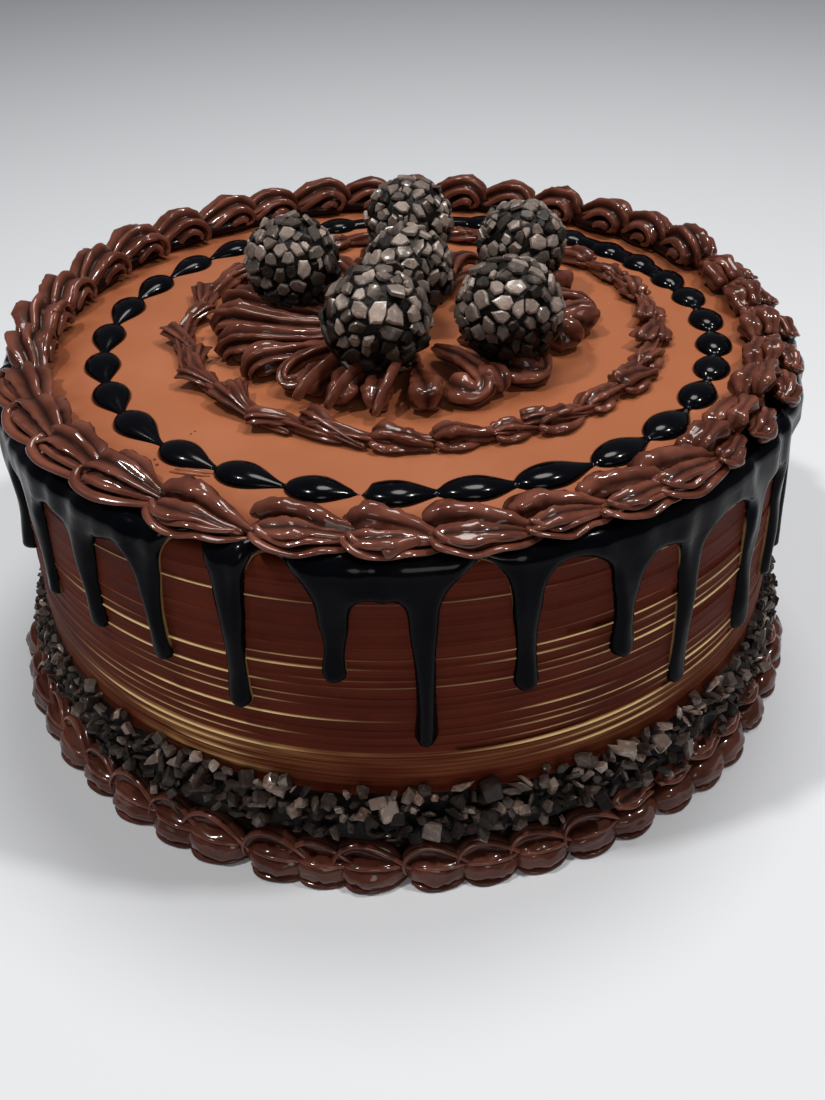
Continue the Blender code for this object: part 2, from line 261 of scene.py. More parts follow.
@dataclass(frozen=True)
class CombedFrosting:
    """Dark milk chocolate frosting that a comb has scored, with painted gold glints along its ridges and a
    painted tan reflection in streaks.
    """

    brown: Colour = (0.128, 0.0230, 0.0105)
    deep: Colour = (0.066, 0.0110, 0.0048)
    # The colour of the painted glint on the ridges.
    painted_glint: Colour = (1.0, 0.72, 0.34)
    # The colour of the painted tan reflection.
    reflection_tan: Colour = (0.42, 0.200, 0.070)
    streaks: tuple[float, float, float] = (14.0, 14.0, 950.0)
    scores: tuple[float, float, float] = (6.0, 6.0, 2600.0)

    def make(self) -> Finish:
        """Builds the material."""
        recipe = Recipe("combed_frosting")
        cloud = recipe.noise(26.0, 4.0)
        streak = recipe.noise(1.0, 3.0, 0.6, recipe.stretched(self.streaks))
        score = recipe.noise(1.0, 2.0, 0.5, recipe.stretched(self.scores))
        base = recipe.mix((cloud * 0.6 + streak * 0.4).over(0.3, 0.72), self.deep, self.brown)
        # Painted reflection: a streaky tan band of warm light low on the side.
        reflected = recipe.mix(recipe.attribute("streak_mark") * streak.over(0.38, 0.66), base, self.reflection_tan)
        return recipe.finish(
            self.brown,
            # Painted glint: gold light along the comb ridges, strongest where the patches of painted light
            # fall.
            Base_Color=recipe.mix(recipe.attribute("painted_glint").over(0.08, 0.8), reflected, self.painted_glint),
            Roughness=0.42 + cloud * 0.16,
            Normal=recipe.relief((score * 0.6 + streak, 0.00022, 0.7)),
            Specular_IOR_Level=0.035,
        )


@dataclass(frozen=True)
class MilkGanache:
    """Smooth poured milk ganache with a satin gloss."""

    brown: Colour = (0.385, 0.127, 0.054)
    pale: Colour = (0.44, 0.156, 0.074)
    dark: Colour = (0.20, 0.052, 0.018)

    def make(self) -> Finish:
        """Builds the material."""
        recipe = Recipe("milk_ganache")
        cloud = recipe.noise(16.0, 4.0)
        base = recipe.mix(cloud.over(0.34, 0.68), self.brown, self.pale)
        # The layer paints shade beside the piping, at the back left and in front, and gives the smear and
        # crumbs their own darker colour.
        shade_and_tone = recipe.attribute("shade_and_tone")
        swell = (recipe.noise(30.0, 2.0), 0.0010, 0.35)
        return recipe.finish(
            self.brown,
            Base_Color=recipe.mix(shade_and_tone, base, self.dark),
            Roughness=0.26 + cloud * 0.16 + shade_and_tone * 0.15,
            Normal=recipe.relief(swell, (recipe.noise(420.0, 2.0), 0.00006, 0.35)),
            Specular_IOR_Level=0.3,
            Coat_Weight=0.15,
            Coat_Roughness=0.14,
        )


@dataclass(frozen=True)
class DarkGlaze:
    """Mirror glaze, near black with a cool gloss, with a warm glint painted along its very edge."""

    black: Colour = (0.0006, 0.0008, 0.0020)
    soft: Colour = (0.0022, 0.0022, 0.0036)
    # The colour of the painted glint along the glaze edge.
    edge: Colour = (0.36, 0.21, 0.085)

    def make(self) -> Finish:
        """Builds the material."""
        recipe = Recipe("dark_glaze")
        cloud = recipe.noise(48.0, 3.0)
        base = recipe.mix(cloud.over(0.35, 0.7), self.black, self.soft)
        return recipe.finish(
            self.black,
            Base_Color=recipe.mix(recipe.attribute("thin").over(0.45, 1.0), base, self.edge),
            Roughness=0.1 + cloud * 0.18,
            Normal=recipe.relief((cloud, 0.0012, 0.5), (recipe.noise(900.0, 2.0), 0.00004, 0.25)),
            Specular_IOR_Level=0.045,
            Coat_Weight=recipe.attribute("pool").clamped(),
            Coat_Roughness=0.1,
            Coat_IOR=1.4,
        )


@dataclass(frozen=True)
class PipedGanache:
    """Whipped ganache pressed through a star nozzle: glossy ridges, with painted shade in its grooves,
    creases and fillings.
    """

    brown: Colour = (0.110, 0.029, 0.016)
    pale: Colour = (0.205, 0.065, 0.040)
    # The colour of the painted shade.
    deep: Colour = (0.010, 0.0025, 0.0015)

    def make(self) -> Finish:
        """Builds the material."""
        recipe = Recipe("piped_ganache")
        cloud = recipe.noise(85.0, 3.0)
        base = recipe.mix(cloud.over(0.35, 0.7), self.brown, self.pale)
        hollow = recipe.attribute("hollow").clamped()
        swell = (recipe.noise(260.0, 2.0), 0.00025, 0.5)
        return recipe.finish(
            self.brown,
            Base_Color=recipe.mix(hollow, base, self.deep),
            Roughness=0.3 + cloud * 0.14,
            Normal=recipe.relief(swell, (recipe.noise(1100.0, 2.0), 0.00005, 0.4)),
            Specular_IOR_Level=0.06,
            Coat_Weight=(1.2 - hollow).clamped(),
            Coat_Roughness=0.1,
            Coat_IOR=1.45,
        )


@dataclass(frozen=True)
class BrokenChocolate:
    """Broken dark chocolate from a near-black painted shadow to a grey painted sheen, faces a little
    different.

    speck is the scale and roughness of its grain, and patch the scale and detail of its clouds. Pale flecks
    of the grain start and end at given values, with a given strength, and show only where the layer paints
    light. patch_relief and speck_relief are a height in metres and a strength. gloss is the weight and
    roughness of its coat.
    """

    name: str
    # The colour of the painted shadow, then of the painted sheen.
    dark: Colour
    grey: Colour
    fleck: Colour
    rust: Colour
    rusty: float
    speck: tuple[float, float]
    patch: tuple[float, float]
    flecking: tuple[float, float, float]
    patch_relief: tuple[float, float]
    speck_relief: tuple[float, float]
    specular: float
    gloss: tuple[float, float]

    def make(self) -> Finish:
        """Builds the material."""
        recipe = Recipe(self.name)
        speck = recipe.noise(self.speck[0], 4.0, self.speck[1])
        patch = recipe.noise(*self.patch)
        tone_and_light = recipe.attribute("tone_and_light")
        grey = recipe.mix(patch.over(0.48, 0.66) * self.rusty, self.grey, self.rust)
        base = recipe.mix(tone_and_light, self.dark, grey)
        start, end, strength = self.flecking
        return recipe.finish(
            self.grey,
            Base_Color=recipe.mix(speck.over(start, end) * tone_and_light * strength, base, self.fleck),
            Roughness=0.36 + patch * 0.2,
            Normal=recipe.relief((patch, *self.patch_relief), (speck, *self.speck_relief)),
            Specular_IOR_Level=self.specular,
            Coat_Weight=(tone_and_light * self.gloss[0]).clamped(),
            Coat_Roughness=self.gloss[1],
        )


FLAKE_CRUST = BrokenChocolate(
    name="flake_crust",
    dark=(0.003, 0.0019, 0.0015),
    grey=(0.400, 0.315, 0.270),
    fleck=(0.80, 0.68, 0.60),
    rust=(0.400, 0.315, 0.270),
    rusty=0.0,
    speck=(900.0, 0.65),
    patch=(240.0, 3.0),
    flecking=(0.52, 0.75, 0.7),
    patch_relief=(0.0012, 0.6),
    speck_relief=(0.00018, 0.5),
    specular=0.2,
    gloss=(1.6, 0.2),
)
CHOCOLATE_CHIPS = BrokenChocolate(
    name="chocolate_chips",
    dark=(0.005, 0.0032, 0.0027),
    grey=(0.360, 0.255, 0.205),
    fleck=(0.75, 0.60, 0.50),
    rust=(0.150, 0.060, 0.036),
    rusty=0.75,
    speck=(700.0, 0.6),
    patch=(200.0, 2.0),
    flecking=(0.5, 0.72, 0.6),
    patch_relief=(0.0014, 0.7),
    speck_relief=(0.0002, 0.55),
    specular=0.12,
    gloss=(2.5, 0.15),
)


@dataclass(frozen=True)
class PaleFloor:
    """The plain pale floor."""

    pale: Colour = (0.78, 0.81, 0.86)

    def make(self) -> Finish:
        """Builds the material."""
        recipe = Recipe("pale_floor")
        cloud = recipe.noise(3.0, 2.0)
        colour = recipe.mix(cloud, self.pale, tuple(1.02 * part for part in self.pale))
        return recipe.finish(self.pale, Base_Color=colour, Roughness=0.7)


# Pieces


@dataclass(frozen=True)
class CakeBody:
    """The sizes that every piece rests on."""

    base_radius: float = 115.8 * MM
    top_radius: float = 114.2 * MM
    height: float = 96.5 * MM
    table: float = 98.5 * MM
    seat: float = 98.7 * MM
    rim_rounding: float = 1.9 * MM

    def wall(self, height: float) -> float:
        """Radius of the cake's side at a height above its underside."""
        return self.base_radius + (self.top_radius - self.base_radius) * height / self.height


BODY = CakeBody()


def add_piece(name: str, shape: Shape, finish: Finish, nodes: Sequence[str]) -> Piece:
    """Turns a bmesh into a piece that rides on the cake and replaces CAD nodes.

    Args:
        name: the piece's name.
        shape: its mesh, which is freed.
        finish: its material.
        nodes: the CAD nodes that it replaces.

    Returns:
        The new object, at the origin.
    """
    mesh = bpy.data.meshes.new(name)
    shape.to_mesh(mesh)
    shape.free()
    mesh.materials.append(finish)
    mesh.shade_smooth()
    piece = bpy.data.objects.new(name, mesh)
    bpy.context.scene.collection.objects.link(piece)
    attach(piece, "root")
    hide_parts(*nodes)
    triangles = sum(len(face.vertices) - 2 for face in mesh.polygons)
    LOG.info("%s: %d triangles", name, triangles)
    return piece


def new_shape(*layers: str) -> Shape:
    """An empty mesh with named layers of one number for each vertex."""
    shape = bmesh.new()
    for layer in layers:
        shape.verts.layers.float.new(layer)
    return shape


def lay(whole: Shape, part: Shape, matrix: Matrix | None = None) -> None:
    """Adds a small mesh to the piece's mesh and frees it.

    Args:
        whole: the piece's mesh.
        part: the small mesh.
        matrix: where the small mesh goes, if it isn't there already.
    """
    mesh = bpy.data.meshes.new("part")
    bmesh.ops.recalc_face_normals(part, faces=part.faces)
    part.to_mesh(mesh)
    part.free()
    if matrix is not None:
        mesh.transform(matrix)
    whole.from_mesh(mesh)
    bpy.data.meshes.remove(mesh)


def turned(outline: Sequence[tuple[float, float]], steps: int, closed: bool = False) -> Shape:
    """Turns an outline round the cake's axis.

    Args:
        outline: radius and height of each point, in metres.
        steps: how many steps make the full turn.
        closed: whether the outline's last point joins its first.

    Returns:
        The turned mesh.
    """
    shape = bmesh.new()
    points = [shape.verts.new((radius, 0.0, height)) for radius, height in outline]
    first = 0 if closed else 1
    edges = [shape.edges.new((points[k - 1], points[k])) for k in range(first, len(points))]
    bmesh.ops.spin(
        shape, geom=points + edges, axis=(0, 0, 1), cent=(0, 0, 0), angle=TURN, steps=steps, use_merge=True
    )
    if not closed:
        bmesh.ops.remove_doubles(shape, verts=shape.verts, dist=0.01 * MM)
    return shape


def ball(shape: Shape, segments: int, rings: int) -> list[bmesh.types.BMVert]:
    """Adds a ball of radius 1 round the origin and returns its vertices."""
    return bmesh.ops.create_uvsphere(shape, u_segments=segments, v_segments=rings, radius=1.0)["verts"]


def ring_of(vert: bmesh.types.BMVert, rings: int) -> int:
    """The ring that a vertex of such a ball is on, counted from its lowest point."""
    return round(math.acos(min(max(-vert.co.z, -1.0), 1.0)) / math.pi * rings)


@dataclass(frozen=True)
class CombRidge:
    """One line left by the comb: its height at the front, how it drifts round the cake, its half width and
    rise, and the strength of its painted gold glint and painted tan reflection.
    """

    height: float
    drift: float
    half_width: float
    rise: float
    painted_glint: float
    streak_mark: float = 0.0


@dataclass
class CombedSide:
    """The frosted cake: a turned block with comb ridges, with glints painted along them round its side."""

    steps: int = 288
    cap_rounding: int = 3
    top_gap: float = 0.2 * MM
    base_rounding: float = 0.4 * MM
    widest_row: float = 2.4
    relief: tuple[tuple[float, float], ...] = ((-1.6, 0.0), (-0.8, 0.45), (0.0, 1.0), (0.8, 0.45), (1.6, 0.0))
    # The least painted glint, then the direction, spread and strength of each patch of painted light on the
    # ridges.
    dimmest: float = 0.16
    glints: tuple[tuple[float, float, float], ...] = (
        (-119.0, 15.0, 1.0), (-60.0, 17.0, 1.0), (60.0, 60.0, 0.3),
    )
    ridges: tuple[CombRidge, ...] = tuple(
        CombRidge(*row)
        for row in (
            (90.4, 0.5, 0.26, 0.22, 0.25), (84.9, 1.2, 0.30, 0.40, 0.75), (78.4, 0.8, 0.26, 0.20, 0.15),
            (72.6, 0.9, 0.26, 0.24, 0.25), (68.2, 1.3, 0.28, 0.40, 0.80), (65.6, 1.3, 0.40, 0.55, 1.00),
            (62.4, 1.2, 0.26, 0.30, 0.50), (60.2, 1.2, 0.34, 0.50, 0.95), (56.6, 0.8, 0.26, 0.30, 0.45),
            (54.2, 0.8, 0.30, 0.34, 0.60), (49.8, 0.6, 0.38, 0.50, 0.90), (46.6, 0.5, 0.26, 0.30, 0.50),
            (44.4, 0.5, 0.36, 0.50, 0.95), (41.4, 0.6, 0.28, 0.30, 0.45),
            (37.6, 1.2, 0.50, 0.50, 0.75, 1.0), (34.9, 1.3, 0.44, 0.40, 0.50, 1.0),
            (32.2, 1.4, 0.50, 0.46, 0.60, 1.0), (29.0, 1.2, 0.50, 0.40, 0.30, 0.8),
            (24.0, 1.0, 0.50, 0.30, 0.0),
        )
    )

    def profile(self) -> list[tuple[float, float]]:
        """Radius and height of each point of the outline, from the middle of the top to the underside's."""
        top = BODY.height - self.top_gap
        points = [(0.0, top), (BODY.top_radius - BODY.rim_rounding, top)]
        for step in range(1, self.cap_rounding + 1):
            angle = 0.5 * math.pi * (1.0 - step / self.cap_rounding)
            out = BODY.top_radius - BODY.rim_rounding * (1.0 - math.cos(angle))
            points.append((out, top - BODY.rim_rounding * (1.0 - math.sin(angle))))
        heights = {
            round(ridge.height + offset * ridge.half_width, 3)
            for ridge in self.ridges
            for offset, _ in self.relief
        }
        fixed = sorted(heights)
        for low, high in zip(fixed, fixed[1:]):
            if high - low > self.widest_row:
                heights.add(round(0.5 * (low + high), 3))
        points += [(BODY.wall(height * MM), height * MM) for height in sorted(heights, reverse=True)]
        foot = BODY.base_radius - self.base_rounding
        return points + [(BODY.base_radius, self.base_rounding), (foot, 0.0), (0.0, 0.0)]

    def lit(self, angle: float, height: float) -> float:
        """How strongly the painted glint shows on the ridge at a direction and a height in millimetres, from
        0 to 1.
        """
        light = self.dimmest
        for middle, spread, strength in self.glints:
            light += strength * math.exp(-((degrees_apart(math.degrees(angle), middle) / spread) ** 2))
        patch = 0.6 + 1.5 * wander(angle, 0.7 * height, 3.4)
        return min(max(light * max(patch, 0.04), 0.0), 1.0)

    def build(self, finish: Finish) -> Piece:
        """Turns the outline and raises its ridges."""
        shape = turned(self.profile(), self.steps)
        painted_glint = shape.verts.layers.float.new("painted_glint")
        streak_mark = shape.verts.layers.float.new("streak_mark")
        rows = {
            round((ridge.height + offset * ridge.half_width) * 1000.0): (ridge, share)
            for ridge in self.ridges
            for offset, share in self.relief
        }
        for vert in shape.verts:
            found = rows.get(round(vert.co.z / MM * 1000.0))
            if found is None or math.hypot(vert.co.x, vert.co.y) < 0.5 * BODY.base_radius:
                continue
            ridge, share = found
            angle = math.atan2(vert.co.y, vert.co.x)
            shift = ridge.drift * (math.sin(angle + 2.0) + 0.6) + 0.5 * wander(angle, ridge.height, 1.6)
            glint = self.lit(angle, ridge.height)
            rise = ridge.rise * (0.55 + 0.45 * glint) * share
            height = vert.co.z + shift * MM
            vert.co = on_ring(angle, BODY.wall(height) + rise * MM, height)
            # Painted glint: gold light along the ridge crest.
            vert[painted_glint] = ridge.painted_glint * glint * share * 1.25
            # Painted reflection: a streaky tan band on the lower ridges, following the glint and strongest at
            # the left.
            cloud = 0.75 + 1.2 * wander(angle, 0.4 * ridge.height, 7.0)
            left = ease(1.6 - degrees_apart(math.degrees(angle), -128.0) / 34.0)
            strength = 0.2 + (0.4 + 0.85 * left) * glint
            vert[streak_mark] = ridge.streak_mark * strength * min(max(cloud, 0.0), 1.0)
        bmesh.ops.recalc_face_normals(shape, faces=shape.faces)
        return add_piece("combed_cake", shape, finish, ["cake"])


@dataclass
class TopGanache:
    """The poured ganache on top inside the rope, with the smear and crumbs that the baker left."""

    radius: float = 107.0 * MM
    rings: int = 70
    steps: int = 240
    sink: float = 0.4 * MM
    rope_edge: float = 98.5 * MM
    leaf_radius: float = 69.2 * MM
    rosette_radius: float = 55.0 * MM
    shaded_side: float = 135.0
    streak_mark: tuple[float, float, float, float] = (-51.0, -75.9, 5.6, -15.0)
    lanes: tuple[float, ...] = (-1.0, 0.4)
    crumbs: tuple[tuple[float, float], ...] = (
        (-61.4, -69.5), (-59.9, -67.6), (-53.1, -56.2), (-60.4, -72.0), (-54.0, -57.4),
    )

    def height(self, place: Vector) -> float:
        """How far the surface swells or dips at a place."""
        swell = 0.30 * noise.noise(Vector((place.x * 22.0, place.y * 22.0, 3.0)))
        return (swell + 0.12 * noise.noise(Vector((place.x * 70.0, place.y * 70.0, 8.0)))) * MM

    def shade_and_tone(self, place: Vector) -> float:
        """How dark the ganache is at a place: painted shade beside the piping and at the back left, and
        darker in front, painted as weaker glare.
        """
        radius = place.xy.length
        behind = 0.5 + 0.5 * math.cos(math.atan2(place.y, place.x) - math.radians(self.shaded_side))
        # Painted shade beside the rope and the leaf ring and inside the rosette, broken up by grain.
        ring = max(0.0, 1.0 - (self.rope_edge - radius) / ((3.5 + 7.0 * behind) * MM))
        leaf = abs((place.xy - Vector(LEAF_CENTRE)).length - self.leaf_radius)
        middle = (place.xy - Vector(ROSETTE_CENTRE)).length - self.rosette_radius
        beside = max(0.0, 1.0 - leaf / (7.0 * MM)) * 0.6
        inside = 0.7 if middle < 0.0 else max(0.0, 0.6 - middle / (6.0 * MM))
        piping = max(ring * (0.7 + 0.2 * behind), beside * 0.8, inside * 0.8)
        grain = 0.5 + 0.8 * noise.noise(place * 160.0)
        # More painted shade at the back left, and darker in front, painted as weaker glare.
        far = 0.24 * behind * ease((radius / MM - 55.0) / 45.0)
        near = 0.16 * ease((-place.y / MM - 50.0) / 30.0)
        return min(max(piping * grain + far + near, 0.0), 1.0)

    def build(self, finish: Finish) -> Piece:
        """Turns the disc, then lets it swell and dip."""
        low = BODY.height - self.sink
        outline = [(self.radius * step / self.rings, BODY.table) for step in range(self.rings + 1)]
        shape = turned(outline + [(self.radius, low), (0.0, low)], self.steps)
        shade_and_tone = shape.verts.layers.float.new("shade_and_tone")
        for vert in shape.verts:
            if vert.co.z > BODY.table - 0.1 * MM:
                vert[shade_and_tone] = self.shade_and_tone(vert.co)
                vert.co.z += self.height(vert.co)
        bmesh.ops.recalc_face_normals(shape, faces=shape.faces)
        self.add_flaws(shape, shade_and_tone)
        return add_piece("poured_ganache", shape, finish, ["top_ganache"])

    def add_flaws(self, shape: Shape, shade_and_tone: Any) -> None:
        """Lays the dragged smear and the few crumbs on the ganache."""
        draw = Draw(SEED + 1)
        across, along, length, degrees = self.streak_mark
        spot = Matrix.Translation((across * MM, along * MM, BODY.table + 0.1 * MM))
        turn = Matrix.Rotation(math.radians(degrees), 4, "Z")
        size = Matrix.Diagonal((length * MM, 0.75 * MM, 0.7 * MM, 1.0))
        # The smear and the crumbs take their own darker colour through the same layer.
        for lane in self.lanes:
            made = ball(shape, 10, 8)
            move = Matrix.Translation((0.6 * lane * MM, lane * MM, 0.0))
            bmesh.ops.transform(shape, matrix=spot @ turn @ move @ size, verts=made)
            for vert in made:
                vert[shade_and_tone] = 0.75
        for across, along in self.crumbs:
            radius = draw.uniform(0.25, 0.5) * MM
            made = bmesh.ops.create_icosphere(shape, subdivisions=1, radius=radius)["verts"]
            bmesh.ops.translate(shape, verts=made, vec=(across * MM, along * MM, BODY.table + 0.15 * MM))
            for vert in made:
                vert[shade_and_tone] = 1.0


@dataclass(frozen=True)
class Drip:
    """One drip: its place, its lowest point and its half width; and the arch to its right."""

    angle: float
    tip: float
    half_width: float
    arch_angle: float
    arch: float
    drop: float = 8.0


@dataclass
class DripGlaze:
    """The dark glaze over the rim, whose sheet runs down the side in drips with arches between them."""

    columns: int = 18
    sheet_rows: int = 24
    funnel_rows: int = 9
    body_rows: int = 9
    tip_rows: int = 6
    inner_radius: float = 105.0 * MM
    thickness: float = 2.3 * MM
    bulb: float = 0.75 * MM
    edge_rounding: float = 2.5 * MM
    skin: float = 0.25 * MM
    side_gap: float = 0.1 * MM
    unrolled_radius: float = 115.0 * MM
    thin_edge: float = 0.35 * MM
    gloss: float = 0.3
    gloss_height: float = 93.5 * MM
    unseen: int = 18
    unseen_tips: tuple[float, ...] = (40.0, 46.0, 52.0, 57.0, 62.0)
    unseen_arches: tuple[float, ...] = (87.0, 91.0, 95.0)
    front: tuple[Drip, ...] = tuple(
        Drip(*row)
        for row in (
            (-157.0, 56.0, 3.0, -151.5, 88.0), (-145.7, 54.8, 2.9, -140.2, 88.5),
            (-133.4, 58.0, 3.0, -129.2, 89.0, 9.0), (-121.7, 58.7, 2.9, -115.8, 99.5, 14.0),
            (-110.8, 51.0, 3.1, -105.4, 98.5, 18.0), (-98.5, 63.2, 2.9, -92.6, 86.8, 8.0),
            (-88.1, 43.3, 2.8, -81.6, 96.5, 15.0), (-76.1, 57.0, 3.0, -70.0, 93.4, 10.0),
            (-63.2, 59.2, 3.4, -57.0, 87.0, 8.0), (-52.8, 39.6, 3.2, -45.5, 88.0, 8.0),
            (-38.6, 40.3, 3.2, -33.0, 85.0, 8.0), (-28.2, 45.6, 3.2, -22.4, 88.0, 8.0),
        )
    )

    def all_drips(self) -> list[Drip]:
        """The drips that show in front, and unseen ones of the same kind round the rest."""
        draw = Draw(SEED + 2)
        drips = list(self.front)
        last = drips[-1].angle
        pitch = (drips[0].angle + 360.0 - last) / (self.unseen + 1)
        for index in range(self.unseen):
            angle = last + pitch * (index + 1) + draw.uniform(-1.0, 1.0)
            tip = draw.choice(self.unseen_tips) + draw.uniform(-2.0, 2.0)
            arch = draw.choice(self.unseen_arches) - draw.uniform(0.0, 2.0)
            half_width = draw.uniform(2.7, 3.4)
            drips.append(Drip(angle, tip, half_width, angle + 0.5 * pitch, arch, draw.uniform(7.0, 12.0)))
        return drips

    @property
    def flat(self) -> float:
        """Distance along the surface from the sheet's inner edge to where the rim starts to bend."""
        return BODY.top_radius - BODY.rim_rounding - self.inner_radius

    @property
    def bend(self) -> float:
        """Distance along the surface round the rim's bend."""
        return 0.5 * math.pi * BODY.rim_rounding

    def path(self, along: float) -> tuple[Vector, Vector]:
        """The cake's surface under the glaze.

        Args:
            along: distance from the sheet's inner edge, out over the rim and down the side.

        Returns:
            The point as radius and height, and the direction out of the surface there.
        """
        low = BODY.height - self.skin
        if along < self.flat:
            return Vector((self.inner_radius + along, low)), Vector((0.0, 1.0))
        middle = Vector((BODY.top_radius - BODY.rim_rounding, low - BODY.rim_rounding))
        if along < self.flat + self.bend:
            angle = 0.5 * math.pi - (along - self.flat) / BODY.rim_rounding
            out = Vector((math.cos(angle), math.sin(angle)))
            return middle + out * BODY.rim_rounding, out
        height = middle.y - (along - self.flat - self.bend)
        return Vector((BODY.wall(height) - self.side_gap, height)), Vector((1.0, 0.0))

    def along(self, height: float) -> float:
        """Distance along the surface to a height on the side, given in millimetres."""
        return self.flat + self.bend + (BODY.height - self.skin - BODY.rim_rounding) - height * MM

    def outline(self, drip: Drip, before: Drip) -> list[tuple[Vector, Vector]]:
        """The left and right edge of a drip on the unrolled side, from its mouth down to its tip.

        Args:
            drip: the drip.
            before: the drip to its left, whose arch it shares.

        Returns:
            For each row, the left and the right point as distance round and distance down.
        """
        unroll = math.radians(1.0) * self.unrolled_radius
        middle = drip.angle * unroll
        gap = (drip.angle - before.arch_angle) % 360.0
        left = Vector((middle - gap * unroll, self.along(before.arch)))
        right = Vector((drip.arch_angle * unroll, self.along(drip.arch)))
        if right.x < middle:
            right.x += 360.0 * unroll
        half = drip.half_width * MM
        shoulder = 1.25 * half
        rows = []
        for row in range(self.funnel_rows + 1):
            share = 1.0 - math.cos(0.5 * math.pi * row / self.funnel_rows)
            reach = (1.0 - (1.0 - share) ** 2.3) ** (1.0 / 2.3)
            pair = []
            for corner, drop, side in ((left, before.drop, -1.0), (right, drip.drop, 1.0)):
                foot = middle + side * shoulder
                across = corner.x + (foot - corner.x) * reach
                mouth = left.y + (right.y - left.y) * (across - left.x) / (right.x - left.x)
                pair.append(Vector((across, mouth + (corner.y + drop * MM - mouth) * share)))
            rows.append((pair[0], pair[1]))
        start_left, start_right = rows[-1]
        stop = self.along(drip.tip) - half
        for row in range(1, self.body_rows + 1):
            share = row / self.body_rows
            width = half * glide(((1.25,), (0.98,), (0.86,), (0.9,), (1.06,)), share)[0]
            pair = []
            for start, side in ((start_left, -1.0), (start_right, 1.0)):
                ragged = noise.noise(Vector((drip.angle, side * 4.0, 5.0 * share)))
                sway = (0.35 * math.sin(3.0 * share + drip.angle) + 0.5 * ragged) * MM
                across = middle + side * width + sway * share
                pair.append(Vector((across, start.y + (stop - start.y) * share)))
            rows.append((pair[0], pair[1]))
        end_left, end_right = rows[-1]
        centre = 0.5 * (end_left + end_right)
        for row in range(1, self.tip_rows + 1):
            turn = 0.5 * math.pi * row / self.tip_rows
            down = Vector((0.0, half * math.sin(turn)))
            across = Vector((half * math.cos(turn), 0.0))
            rows.append((centre + down - across, centre + down + across))
        return rows

    def build(self, finish: Finish) -> Piece:
        """Maps one grid for each drip on the cake, thick in the middle and thin at the edges."""
        drips = self.all_drips()
        outlines = [self.outline(drip, before) for drip, before in zip(drips, drips[-1:] + drips[:-1])]
        edge_points = [
            one[side].lerp(other[side], step / 5.0)
            for rows in outlines
            for one, other in zip(rows, rows[1:])
            for side in (0, 1)
            for step in range(5)
        ]
        tree = KDTree(3 * len(edge_points))
        round_trip = TURN * self.unrolled_radius
        for index, point in enumerate(edge_points):
            for lap in (-1, 0, 1):
                tree.insert((point.x + lap * round_trip, point.y, 0.0), index)
        tree.balance()
        shape = new_shape("thin", "pool")
        for rows in outlines:
            self.add_sector(shape, rows, tree)
        bmesh.ops.remove_doubles(shape, verts=shape.verts, dist=0.02 * MM)
        bmesh.ops.recalc_face_normals(shape, faces=shape.faces)
        return add_piece("drip_glaze", shape, finish, ["ganache_drip"])

    def add_sector(self, shape: Shape, rows: list[tuple[Vector, Vector]], tree: KDTree) -> None:
        """Adds the front and back of the glaze from the sheet's inner edge to one drip's tip."""
        total = self.sheet_rows + len(rows) - 1
        thin = shape.verts.layers.float["thin"]
        pool = shape.verts.layers.float["pool"]
        for front in (True, False):
            made = bmesh.ops.create_grid(shape, x_segments=self.columns, y_segments=total, size=1.0)["verts"]
            for vert in made:
                share = 0.5 - 0.5 * math.cos(math.pi * 0.5 * (vert.co.x + 1.0))
                row = round(0.5 * (1.0 - vert.co.y) * total)
                lead = min(row / self.sheet_rows, 1.0)
                left, right = rows[max(row - self.sheet_rows, 0)]
                spot = left.lerp(right, share)
                if lead < 1.0:
                    spot.y *= lead**0.8
                base, out = self.path(spot.y)
                depth = 0.0
                near = tree.find((spot.x, spot.y, 0.0))[2]
                if front and row > 0:
                    body = min(near / self.edge_rounding, 1.0)
                    depth = math.sqrt(max(0.0, 1.0 - (1.0 - body) ** 2)) * self.full_depth(spot, row, total)
                    depth *= min(1.0, 3.0 * lead)
                place = base + out * depth
                vert.co = on_ring(spot.x / self.unrolled_radius, place.x, place.y)
                # Painted glint: the warm edge colour along the drip edges, broken up round the cake.
                lip = ease(0.55 + 2.2 * wander(spot.x / self.unrolled_radius, 50.0 * spot.y, 14.0))
                vert[thin] = lip * max(0.0, 1.0 - near / self.thin_edge) if front else 1.0
                vert[pool] = self.gloss * ease((place.y - self.gloss_height) / (4.0 * MM))

    def full_depth(self, spot: Vector, row: int, total: int) -> float:
        """Thickness of the glaze away from its edges."""
        angle = spot.x / self.unrolled_radius
        ripple = (0.35 * wander(angle, 4.0, 9.0) + 1.4 * wander(angle, 55.0 * spot.y, 17.0)) * MM
        low = ease((row - total + self.tip_rows + 4) / (self.tip_rows + 2.0))
        return self.thickness + ripple + self.bulb * low


# Piping


@dataclass(frozen=True)
class Nozzle:
    """How the star nozzle ribs a stroke: its lobes, how deep and how keen its grooves are."""

    lobes: int
    depth: float
    keen: float
    twist: float = 0.0
    phase: float = 0.0
    uneven: float = 0.08
    # How dark the painted shade in its grooves is.
    shadow: float = 0.6
    beads: float = 0.0

    def reach(self, angle: float) -> float:
        """Share of the full half width at an angle round the stroke."""
        return 1.0 - self.depth * (1.0 - abs(math.cos(0.5 * self.lobes * angle)) ** self.keen)


